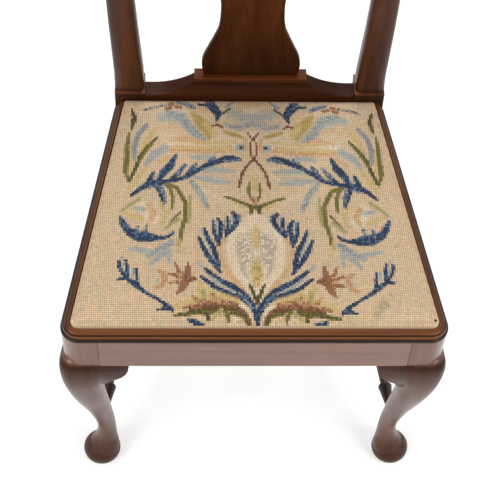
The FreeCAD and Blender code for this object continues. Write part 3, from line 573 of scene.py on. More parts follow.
# Splat. A vase outline sawn from one thin mahogany board, bent with the rake of the back and let
# into the shoe below and the crest above.
shoe_top = 465.0
splat_front = seat_back + 14.0
splat_thick = 10.0
splat_ease = 1.2
splat_lean = stile_y + stile_rake - splat_thick / 2 - splat_front
sharp_turn = 1.0
vase_half = [
    (0.0, 71.0), (0.025, 74.0), (0.052, 75.0), (0.08, 72.5), (0.114, 66.0), (0.148, 59.0), (0.2, 50.0),
    (0.274, 47.2), (0.323, 48.6), (0.4, 55.5), (0.51, 74.0), (0.614, 86.0), (0.705, 83.0), (0.795, 66.0),
    (0.864, 50.5), (0.92, 45.5), (0.966, 50.0), (1.0, 58.0),
]
back_rake = [(0.0, 0.0), (0.17, 0.11), (0.33, 0.24), (0.5, 0.41), (0.66, 0.59), (1.0, 1.0)]


def fair_value(rows, at):
    """The value at a place along rows of (place, value), on a fair curve."""
    i = max(k for k in range(len(rows) - 1) if rows[k][0] <= at)
    u = (at - rows[i][0]) / (rows[i + 1][0] - rows[i][0])
    return float(fair_curve([r[1:] for r in rows], i + min(u, 1.0))[0])


def thicken(bm, thick, ease, segments):
    """Gives a sawn outline its thickness towards the back and eases its edges."""
    rear_side = bmesh.ops.extrude_face_region(bm, geom=bm.faces[:])["geom"]
    rear_verts = [g for g in rear_side if isinstance(g, bmesh.types.BMVert)]
    bmesh.ops.translate(bm, vec=(0, thick / 1000, 0), verts=rear_verts)
    bmesh.ops.recalc_face_normals(bm, faces=bm.faces)
    arrises = [e for e in bm.edges if e.is_manifold and e.calc_face_angle() > sharp_turn]
    bmesh.ops.bevel(
        bm, geom=arrises, offset=ease / 1000, affect="EDGES", segments=segments, profile=0.5, material=-1
    )


splat = bmesh.new()
board = bmesh.ops.create_grid(splat, x_segments=10, y_segments=120, size=0.5)["verts"]
for vert in board:
    share = min(max(vert.co.y + 0.5, 0.0), 1.0)
    x = 2 * vert.co.x * fair_value(vase_half, share)
    y = splat_front + splat_lean * fair_value(back_rake, share)
    vert.co = spot(x, y, shoe_top + share * (crest_low - shoe_top))
thicken(splat, splat_thick, splat_ease, 2)
splat_dark, splat_warm = (0.062, 0.0145, 0.0032), (0.128, 0.033, 0.0075)
# The splat grows darker towards its foot.
splat_tones = [(0.45, 0.24), (0.68, 1.0)]
figured = timber("mahogany_splat", (1, 1, 0.06), splat_dark, splat_warm, 0.0, 0.08, splat_tones)
put_in(as_mesh(splat), "vase_splat", figured, "chair_frame", "mahogany", "splat")

# Shoe. A moulded mahogany block glued on the rear rail to take the splat's foot: a square cap, a
# hollow front, and a top swept down to the rail on each side of the cap.
rear_top = 431.0
cap_half = 85.0
cap_over = 1.5
cap_under = 4.0
cap_set = 6.0
cap_ease = 0.9
cap_low = rear_top + 29.5
cap_top = rear_top + 34.0
shoe_back = seat_back + 28.0
shoe_end = stile_x - 23.5
wing_tip = cap_half + 66.0
hollow = [(0.0, 0.0), (1.5, 0.0), (5.0, 1.2), (9.4, 3.2), (13.8, 5.6), (18.4, 7.6), (24.0, 9.0), (29.5, 9.8)]
hollow_steps = 10
sweep_low, sweep_high = 2.5, cap_low - rear_top - 1.2
sweep_lap = 4.0
sweep_run = wing_tip - cap_half + sweep_lap
sweep_round = (sweep_run**2 + (sweep_high - sweep_low) ** 2) / 2 / (sweep_high - sweep_low)
sweep_steps = 28
under_cap = [-60.0, -30.0, 0.0, 30.0, 60.0]
wing = [cap_half - sweep_lap + sweep_run * k / sweep_steps for k in range(sweep_steps + 1)] + [shoe_end]
shoe_places = [-x for x in wing[::-1]] + under_cap + wing


def ease_block(bm, verts, ease):
    """Eases all the edges of a square block."""
    edges = list({e for v in verts for e in v.link_edges})
    bmesh.ops.bevel(bm, geom=edges, offset=ease / 1000, affect="EDGES", segments=2, profile=0.5, material=-1)


shoe_rings = []
for x in shoe_places:
    reach = min(max(wing_tip - abs(x), 0.0), sweep_run)
    top = sweep_low + sweep_round - math.sqrt(sweep_round**2 - reach**2)
    ring = [spot(x, shoe_back, rear_top), spot(x, seat_back, rear_top)]
    for k in range(1, hollow_steps + 1):
        up = top * k / hollow_steps
        ring.append(spot(x, seat_back + np.interp(up, *zip(*hollow)), rear_top + up))
    shoe_rings.append(ring + [spot(x, shoe_back, rear_top + top)])
shoe = bmesh.new()
draw_through(shoe, shoe_rings)
cap = bmesh.ops.create_cube(shoe, size=1)["verts"]
for vert in cap:
    y = seat_back + cap_set if vert.co.y < 0 else shoe_back
    z = cap_top if vert.co.z > 0 else cap_low - cap_under
    vert.co = spot(2 * (cap_half + cap_over) * vert.co.x, y, z)
ease_block(shoe, cap, cap_ease)
# Tones by height: darker over the rear rail, down the hollow and in the quirk under the cap, painted shade, with
# light lines along the cap's lower and upper arrises, partly wear and partly painted highlights.
shoe_painted_light_and_wear = [
    (0.43, 0.72), (0.452, 0.72), (0.4558, 0.5), (0.4563, 1.7), (0.4575, 1.0), (0.4636, 1.0), (0.4641, 1.9),
    (0.4648, 1.6), (0.466, 1.0),
]
shoe_dark, shoe_warm = (0.04, 0.01, 0.0026), (0.085, 0.022, 0.0055)
dark_across = timber("mahogany_shoe", (0.05, 1, 1), shoe_dark, shoe_warm, 0.03, 0.07, shoe_painted_light_and_wear)
refinish(dark_across, "rear_rail")
put_in(as_mesh(shoe), "splat_foot_shoe", dark_across, "chair_frame", "mahogany", "splat_shoe", crease=22)

# Crest rail. A leaning mahogany rail with round shoulders and a raised middle, its edges eased, set
# on the stiles' tenons and over the splat's tongue.
crest_rise = 81.0
crest_thick = 28.0
crest_ease = 4.0
crest_lean = 17.0
crest_foot = 0.985
crest_half = stile_x + stile_spread + stile_wide / 2
crest_front = stile_y + stile_rake - crest_thick / 2
crest_line = [
    (1.0, 0.0), (1.01, 0.26), (0.975, 0.53), (0.88, 0.7), (0.7, 0.7), (0.48, 0.66), (0.3, 0.77), (0.13, 0.96),
    (0.0, 1.0), (-0.13, 0.96), (-0.3, 0.77), (-0.48, 0.66), (-0.7, 0.7), (-0.88, 0.7), (-0.975, 0.53),
    (-1.01, 0.26), (-1.0, 0.0),
]
crest = bmesh.new()
top_board = bmesh.ops.create_grid(crest, x_segments=96, y_segments=10, size=0.5)["verts"]
for vert in top_board:
    along, up = fair_curve(crest_line, (vert.co.x + 0.5) * (len(crest_line) - 1))
    share = vert.co.y + 0.5
    foot = min(max(along, -1.0), 1.0) * crest_foot
    z = up * share
    x = (foot + (along - foot) * share) * crest_half
    vert.co = spot(x, crest_front + crest_lean * z, crest_low + z * crest_rise)
bmesh.ops.remove_doubles(crest, verts=crest.verts, dist=0.00005)
thicken(crest, crest_thick, crest_ease, 4)
put_in(as_mesh(crest), "crest_top_rail", dark_across, "chair_frame", "mahogany", "crest_rail")

# Stretchers. Turned mahogany: a cone and a rounded shoulder at each leg, slim between, with a square
# block in the middle of each side that takes the cross stretcher's round tenon.
stretch_z = 115.0
front_in = 19.5
rear_in, rear_share = 8.4, 0.59
stretch_from = Vector((leg_x - front_in, leg_y + front_in, 0))
stretch_to = Vector((stile_x - rear_in, stile_y + foot_rows[0][2] * rear_share, 0))
stretch_run = (stretch_to - stretch_from).length
stretch_turn = math.atan2(stretch_to.y - stretch_from.y, stretch_to.x - stretch_from.x)
block_half = 33.0
block_wide = 27.0
block_ease = 1.6
block_face = stretch_run / 2 - block_half
side_turning = [
    (6.0, 6.0), (22.0, 6.0), (46.0, 9.9), (48.5, 10.2), (50.0, 10.8), (52.5, 10.9), (54.5, 10.0), (55.5, 9.0),
    (57.0, 7.2), (60.0, 6.4), (block_face - 11, 9.2), (block_face - 9, 10.4), (block_face - 5, 11.4),
    (block_face - 1, 10.6), (stretch_run / 2, 9.6),
]


def turned(bm, half):
    """Spins a mirrored half profile of (length, radius) about its own X axis."""
    run = half[-1][0] * 2
    whole = half + [(run - a, r) for a, r in half[-2::-1]]
    outline = [(whole[0][0], 0.0)] + whole + [(whole[-1][0], 0.0)]
    verts = [bm.verts.new((a / 1000, 0, r / 1000)) for a, r in outline]
    edges = [bm.edges.new(pair) for pair in zip(verts, verts[1:])]
    bmesh.ops.spin(
        bm, geom=verts + edges, cent=(0, 0, 0), axis=(1, 0, 0), angle=2 * math.pi, steps=32, use_merge=True
    )
    bmesh.ops.remove_doubles(bm, verts=bm.verts, dist=0.00002)


slim_dark, slim_warm = (0.014, 0.006, 0.0035), (0.032, 0.0125, 0.0065)
slim_deep = timber("mahogany_stretcher_deep", (1, 0.045, 1), slim_dark, slim_warm, 0.2, 0.3)
slim_across = timber("mahogany_stretcher_across", (0.045, 1, 1), slim_dark, slim_warm, 0.2, 0.3)
side_bar = bmesh.new()
turned(side_bar, side_turning)
block = bmesh.ops.create_cube(side_bar, size=1)["verts"]
block_size = (block_half * 2 / 1000, block_wide / 1000, block_wide / 1000)
bmesh.ops.scale(side_bar, vec=block_size, verts=block)
bmesh.ops.translate(side_bar, vec=(stretch_run / 2000, 0, 0), verts=block)
ease_block(side_bar, block, block_ease)
bmesh.ops.rotate(side_bar, matrix=Matrix.Rotation(stretch_turn, 3, "Z"), verts=side_bar.verts)
bmesh.ops.translate(side_bar, vec=spot(stretch_from.x, stretch_from.y, stretch_z), verts=side_bar.verts)
put_pair(as_mesh(side_bar), "turned_stretcher", slim_deep, "side_stretcher")
middle = (stretch_from + stretch_to) / 2
face_x = middle.x - block_wide / 2 * math.sin(stretch_turn)
tenon = middle.x - face_x
cross_turning = [
    (1.0, 6.0), (tenon + 5, 6.0), (tenon + 28, 9.8), (tenon + 31, 10.2), (tenon + 33.5, 10.7), (tenon + 36, 9.8),
    (tenon + 38, 8.6), (tenon + 42, 6.4), (middle.x - 100, 8.6), (middle.x - 50, 10.6), (middle.x - 24, 11.4),
    (middle.x - 8, 12.4), (middle.x, 12.6),
]
cross_bar = bmesh.new()
turned(cross_bar, cross_turning)
bmesh.ops.translate(cross_bar, vec=spot(-middle.x, middle.y, stretch_z), verts=cross_bar.verts)
put_in(as_mesh(cross_bar), "turned_stretcher_middle", slim_across, "chair_frame", "mahogany", "medial_stretcher")

# Slip frame. The loose seat's own frame, four flat lengths of plain beech tenoned together, dropped
# in on the rails with room for the cover all round.
beech_dark, beech_warm = (0.36, 0.24, 0.14), (0.5, 0.36, 0.22)
beech_x = timber("beech_across", (0.05, 1, 1), beech_dark, beech_warm, 0.0, 0.2)
beech_y = timber("beech_deep", (1, 0.05, 1), beech_dark, beech_warm, 0.0, 0.2)
refinish(beech_x, "slip_front", "slip_rear")
refinish(beech_y, "slip_left", "slip_right")
tack_iron = bpy.data.materials.new("tack_iron")
tack_iron.use_nodes = True
tree = tack_iron.node_tree
principled = tree.nodes["Principled BSDF"]
principled.inputs["Metallic"].default_value = 0.7
place = tree.nodes.new("ShaderNodeTexCoord")
rusting = add_node(tree, "ShaderNodeTexNoise", Scale=700.0, Detail=3.0, Roughness=0.6)
tree.links.new(place.outputs["Object"], rusting.inputs["Vector"])
rust_ramp = tree.nodes.new("ShaderNodeValToRGB")
rust_ramp.color_ramp.elements[0].color = (0.03, 0.027, 0.025, 1)
rust_ramp.color_ramp.elements[0].position = 0.38
rust_ramp.color_ramp.elements[1].color = (0.13, 0.065, 0.035, 1)
rust_ramp.color_ramp.elements[1].position = 0.68
tree.links.new(rusting.outputs["Fac"], rust_ramp.inputs["Fac"])
tree.links.new(rust_ramp.outputs["Color"], principled.inputs["Base Color"])
worn_bright = add_node(tree, "ShaderNodeMapRange", From_Min=0.3, From_Max=0.7, To_Min=0.4, To_Max=0.75)
tree.links.new(rusting.outputs["Fac"], worn_bright.inputs["Value"])
tree.links.new(worn_bright.outputs["Result"], principled.inputs["Roughness"])
refinish(tack_iron, "cover_tacks")

# Webbing. Striped jute straps, six of them, woven over and under each other and strained across the
# top of the slip frame to carry the stuffing.
slip_low = rail_top + 1.6
slip_top = slip_low + 15.0
slip_gap = 16.2
strap_gap = slip_gap + 9
strap_wide = 50.0
strap_thick = 1.0
strap_wave = 0.62
strap_hold = 0.62
strap_level = slip_top + 1.2
seat_near, seat_far = 24.2, 419.8
strap_columns = [-104.0, 0.0, 104.0]
row_shares = (0.22, 0.5, 0.78)
strap_rows = [seat_near + share * (seat_far - seat_near) for share in row_shares]
jute = (0.36, 0.25, 0.14)
jute_stripe = (0.13, 0.06, 0.035)
stripe_from, stripe_to = 0.3, 0.4
webbing = bmesh.new()
strap_dye = webbing.loops.layers.float_color.new("dye")


def strap(runs_back, middle, start, end, crossings, first_over):
    """One strap as a strip of cloth that passes over and under the straps it meets."""
    made = bmesh.ops.create_grid(webbing, x_segments=60, y_segments=10, size=0.5)["verts"]
    for face in {f for v in made for f in v.link_faces}:
        edge = abs(face.calc_center_median().y)
        for loop in face.loops:
            loop[strap_dye] = (*(jute_stripe if stripe_from < edge < stripe_to else jute), 1)
    for vert in made:
        along = start + (end - start) * (vert.co.x + 0.5)
        beside = middle + vert.co.y * strap_wide
        lift = 0.0
        for k, at in enumerate(crossings):
            side = 1 if (k % 2 == 0) == first_over else -1
            lift += side * math.exp(-(((along - at) / (strap_wide * strap_hold)) ** 4))
        x, y = (beside, along) if runs_back else (along, beside)
        vert.co = spot(x, y, strap_level + strap_wave * lift)


for row, y in enumerate(strap_rows):
    reach = side_x(y, strap_gap)
    strap(False, y, -reach, reach, strap_columns, row % 2 == 0)
for column, x in enumerate(strap_columns):
    strap(True, x, seat_near, seat_far, strap_rows, column % 2 == 1)
bmesh.ops.recalc_face_normals(webbing, faces=webbing.faces)
bmesh.ops.solidify(webbing, geom=webbing.faces[:], thickness=strap_thick / 1000)


def weave_group():
    """Threads crossing over and under at a given pitch, from a place in metres."""
    group, start, end = shader_group(
        "plain_weave",
        {"Place": "Vector", "Threads per metre": "Float"},
        {"Height": "Float", "Fibre": "Float", "Hole": "Float"},
    )
    link = group.links.new
    count = group.nodes.new("ShaderNodeVectorMath")
    count.operation = "SCALE"
    link(start.outputs["Place"], count.inputs["Vector"])
    link(start.outputs["Threads per metre"], count.inputs["Scale"])
    apart = group.nodes.new("ShaderNodeSeparateXYZ")
    link(count.outputs["Vector"], apart.inputs["Vector"])
    turns = [maths(group, "MULTIPLY", apart.outputs[axis], math.pi) for axis in ("X", "Y")]
    waves = [maths(group, "SINE", turn) for turn in turns]
    rise = add_node(group, "ShaderNodeMapRange", From_Min=-1.0, From_Max=1.0)
    link(maths(group, "MULTIPLY", *waves), rise.inputs["Value"])
    fibre = add_node(group, "ShaderNodeTexNoise", Scale=900.0, Detail=3.0, Roughness=0.6)
    link(start.outputs["Place"], fibre.inputs["Vector"])
    sizes = [maths(group, "ABSOLUTE", wave) for wave in waves]
    link(maths(group, "MAXIMUM", *sizes), end.inputs["Hole"])
    link(rise.outputs["Result"], end.inputs["Height"])
    link(fibre.outputs["Fac"], end.inputs["Fibre"])
    return group


plain_weave = weave_group()


def cloth(name, threads, bump_depth, colour=None, attribute=None, gap=0.6):
    """Woven cloth, in one colour or in the colours dyed into the piece."""
    material = bpy.data.materials.new(name)
    material.use_nodes = True
    tree = material.node_tree
    link = tree.links.new
    principled = tree.nodes["Principled BSDF"]
    principled.inputs["Roughness"].default_value = 0.92
    principled.inputs["Specular IOR Level"].default_value = 0.15
    principled.inputs["Sheen Weight"].default_value = 0.1
    principled.inputs["Sheen Roughness"].default_value = 0.6
    place = tree.nodes.new("ShaderNodeTexCoord")
    weave = tree.nodes.new("ShaderNodeGroup")
    weave.node_tree = plain_weave
    weave.inputs["Threads per metre"].default_value = threads
    start = add_node(tree, "ShaderNodeMapping", Location=(0, -rail_face, 0))
    link(place.outputs["Object"], start.inputs["Vector"])
    link(start.outputs["Vector"], weave.inputs["Place"])
    shade = add_node(tree, "ShaderNodeMapRange", From_Min=0.3, From_Max=0.8, To_Min=gap, To_Max=1.0)
    link(weave.outputs["Hole"], shade.inputs["Value"])
    fuzz = add_node(tree, "ShaderNodeMapRange", From_Min=0.3, From_Max=0.7, To_Min=0.86, To_Max=1.1)
    link(weave.outputs["Fibre"], fuzz.inputs["Value"])
    if attribute:
        dye = tree.nodes.new("ShaderNodeAttribute")
        dye.attribute_name = attribute
        colour = dye.outputs["Color"]
    both = maths(tree, "MULTIPLY", shade.outputs["Result"], fuzz.outputs["Result"])
    link(mixed(tree, colour, both), principled.inputs["Base Color"])
    bump = add_node(tree, "ShaderNodeBump", Strength=0.5, Distance=bump_depth)
    link(weave.outputs["Height"], bump.inputs["Height"])
    link(bump.outputs["Normal"], principled.inputs["Normal"])
    return material


jute_cloth = cloth("striped_jute", 520.0, 0.0004, attribute="dye")
straps = put_in(as_mesh(webbing), "jute_webbing", jute_cloth, "drop_in_seat", "webbing", "webbing")

# Sackcloth. One piece of coarse brown hessian, cut to the slip frame's plan and tacked down over the
# webbing to hold the hair up.
sack_inset = 21.2
sack_far = 422.8
sack_low = 422.35
sack_thick = 0.7
sack_round = 3.0
corner_cuts = 5


def cut_plan(bm, inset, near, far, front_round, rear_round, trim=True):
    """Trims a grid along the seat's four sides and across its corners, or only scores it there."""
    cuts = [(0.0, near, 0.0, -1.0), (0.0, far, 0.0, 1.0)]
    for hand in (-1, 1):
        cuts.append((hand * side_x(0, inset), 0.0, hand * 1.0, side_lean))
        for y, radius, way in ((near, front_round, -1.0), (far, rear_round, 1.0)):
            first = math.atan2(side_lean, 1.0)
            last = math.radians(90) * way
            centre_y = y - way * radius
            centre_x = side_x(centre_y, inset) - radius * side_slope
            for k in range(1, corner_cuts):
                turn = first + (last - first) * k / corner_cuts
                out_x, out_y = math.cos(turn), math.sin(turn)
                cuts.append((hand * (centre_x + radius * out_x), centre_y + radius * out_y, hand * out_x, out_y))
    for x, y, out_x, out_y in cuts:
        bmesh.ops.bisect_plane(
            bm, geom=bm.verts[:] + bm.edges[:] + bm.faces[:], dist=1e-7, plane_co=spot(x, y, 0),
            plane_no=(out_x, out_y, 0), clear_outer=trim,
        )


sacking = bmesh.new()
sheet_grid = bmesh.ops.create_grid(sacking, x_segments=60, y_segments=44, size=0.5)["verts"]
for vert in sheet_grid:
    vert.co = spot(vert.co.x * 2 * seat_half, (vert.co.y + 0.5) * seat_back, sack_low)
cut_plan(sacking, sack_inset, sack_inset, sack_far, sack_round, sack_round)
for face in sacking.faces:
    face.normal_update()
bmesh.ops.solidify(sacking, geom=sacking.faces[:], thickness=sack_thick / 1000)
hessian = cloth("brown_hessian", 620.0, 0.0004, colour=(0.3, 0.2, 0.11), gap=0.4)
sack = put_in(as_mesh(sacking), "hessian_sackcloth", hessian, "drop_in_seat", "sackcloth", "sackcloth")

# Stuffing. A low pad of curled horsehair, laid thickest in the middle and feathered to the edges,
# under the tension of the cover.
crown_low = 420.4
crown_rise = 17.0
cover_inset = 14.6
cover_near = cover_inset
cover_far = seat_back - 1.6
cover_front_round, cover_rear_round = 10.0, 4.0
hair_inset = 7.0
hair_low = 423.1
hair_edge = 3.4
hair_swell = 6.0
hair_clear = 1.9
hair_slack = 0.8
swell_steps = 20
crown_line = [
    (0.0, 0.0), (0.5, 0.11), (1.8, 0.21), (5.0, 0.32), (10.5, 0.41), (30.0, 0.58), (62.0, 0.75), (108.0, 0.91),
    (152.0, 1.0), (260.0, 1.02),
]


def edge_distance(x, y):
    """How far inside the cover's outline a place lies."""
    side = (seat_half - side_lean * y - abs(x)) / side_slope - cover_inset
    near, far = y - cover_near, cover_far - y
    end, radius = (near, cover_front_round) if near < far else (far, cover_rear_round)
    if side < radius and end < radius:
        return radius - math.hypot(radius - side, radius - end)
    return min(side, end)


def crown(x, y):
    insets, shares = zip(*crown_line)
    return crown_low + crown_rise * float(np.interp(max(edge_distance(x, y), 0.0), insets, shares))


hair = bmesh.new()
for vert in bmesh.ops.create_cube(hair, size=1)["verts"]:
    y = cover_near + hair_inset if vert.co.y < 0 else cover_far - hair_inset
    x = math.copysign(side_x(y, cover_inset + hair_inset), vert.co.x)
    vert.co = spot(x, y, hair_low + (hair_edge if vert.co.z > 0 else 0.0))
pad = bpy.data.objects.new("pad_form", as_mesh(hair))
bpy.context.scene.collection.objects.link(pad)
even = pad.modifiers.new("even", "REMESH")
even.mode = "VOXEL"
even.voxel_size = 0.004
pad_mesh = bpy.data.meshes.new_from_object(pad.evaluated_get(bpy.context.evaluated_depsgraph_get()))
pad.modifiers.clear()
pad.data = pad_mesh
at_rest = np.empty(len(pad_mesh.vertices) * 3)
pad_mesh.vertices.foreach_get("co", at_rest)
swollen = at_rest.copy()
filling = pad.modifiers.new("filling", "CLOTH")
filling.settings.quality = 4
filling.settings.use_pressure = True
filling.settings.uniform_pressure_force = 4.0
filling.settings.effector_weights.gravity = 0.0
for step in range(1, swell_steps + 1):
    bpy.context.scene.frame_set(step)
full = pad.evaluated_get(bpy.context.evaluated_depsgraph_get()).to_mesh()
full.vertices.foreach_get("co", swollen)
bpy.context.scene.frame_set(1)
pad.modifiers.clear()
moved = (swollen - at_rest).reshape(-1, 3)
far_moved = np.linalg.norm(moved, axis=1, keepdims=True)
moved *= np.minimum(1.0, hair_swell / 1000 / np.maximum(far_moved, 1e-9))
places = at_rest.reshape(-1, 3) + moved
for place in places:
    x, y = place[0] * 1000, (place[1] - rail_face) * 1000
    share = (place[2] * 1000 - hair_low) / hair_edge
    ceiling = crown(x, y) - hair_clear
    if share > 0.5:
        place[2] = max(place[2], (ceiling - hair_slack) / 1000)
    place[2] = min(max(place[2], hair_low / 1000), ceiling / 1000)
pad_mesh.vertices.foreach_set("co", places.ravel())
pad_mesh.update()
bpy.data.objects.remove(pad)
curled_hair = cloth("curled_horsehair", 340.0, 0.001, colour=(0.05, 0.038, 0.03), gap=0.3)
stuffing = put_in(pad_mesh, "horsehair_pad", curled_hair, "drop_in_seat", "horsehair", "hair_stuffing")
softened = stuffing.modifiers.new("softened", "SUBSURF")
softened.levels = softened.render_levels = 1

# The view. The chair is seen from high in front, a little to its left, close enough for the seat to
# fill the frame. The needlework's cartoon is drawn in this view, so it comes first.
photo_size = 500
photo_focal = 1455.08
sensor = 36.0
view_place = Vector((-86.7, -1078.44, 2121.0))
view_yaw, view_pitch, view_roll = 0.06632, 0.945655, 0.056717
flat = math.cos(view_pitch)
ahead = Vector((math.sin(view_yaw) * flat, math.cos(view_yaw) * flat, -math.sin(view_pitch)))
level = Vector((math.cos(view_yaw), -math.sin(view_yaw), 0))
above = level.cross(ahead)
view_right = level * math.cos(view_roll) + above * math.sin(view_roll)
view_up = above * math.cos(view_roll) - level * math.sin(view_roll)
lens = bpy.data.cameras.new("camera")
lens.sensor_width = sensor
lens.lens = photo_focal / photo_size * sensor
lens.clip_end = 50
viewer = bpy.data.objects.new("camera", lens)
view_frame = Matrix((view_right, view_up, -ahead)).transposed().to_4x4()
view_frame.translation = spot(*view_place)
viewer.matrix_world = view_frame
bpy.context.scene.collection.objects.link(viewer)
bpy.context.scene.camera = viewer
bpy.context.scene.view_settings.view_transform = "Standard"

# Needlework cover. Wool cross stitch on canvas, three millimetres to a stitch, worked in one piece
# with a mirrored design of leaves, birds and a pomegranate, strained over the hair and tacked below.
stitch = 3.0
needle_axis = 2.7
right_slip, slip_over = 6.0, 100
edge_ragged = 0.2
wool_uneven = 0.07
plain_bold, navy_bold = 0.35, 0.45
# Each stitch is lighter along its middle and darker at its sides: a painted highlight and painted shade.
stitch_painted_highlight, stitch_painted_shade = 1.12, 0.84
stitch_rise = 0.00035
stitch_whole = 0.9
ridge_from, ridge_to = 0.3, 0.7
skirt_slope = 0.3
edge_scores = (0.5, 1.8, 4.0)
score_rear_round = 4.01
hem_width = 26.0
hem_fold = 1.0
hem_low = rail_top + 0.3
wool_rng = np.random.default_rng(1740)
wools = {
    "ground": (221, 192, 155), "cream": (232, 211, 180), "straw": (214, 184, 124), "gold": (184, 157, 92),
    "tan": (200, 156, 114), "peach": (217, 174, 128), "rust": (154, 108, 78), "brown": (126, 82, 58),
    "olive": (118, 110, 54), "dark olive": (86, 80, 42), "navy": (44, 60, 86), "blue": (84, 106, 130),
    "pale blue": (174, 175, 166), "slate": (146, 150, 150), "green": (168, 160, 106),
    "mist": (190, 176, 154), "worn": (150, 142, 112),
}
faded = {"navy": "navy/navy/navy/navy/blue", "blue": "blue/blue/blue/slate"}
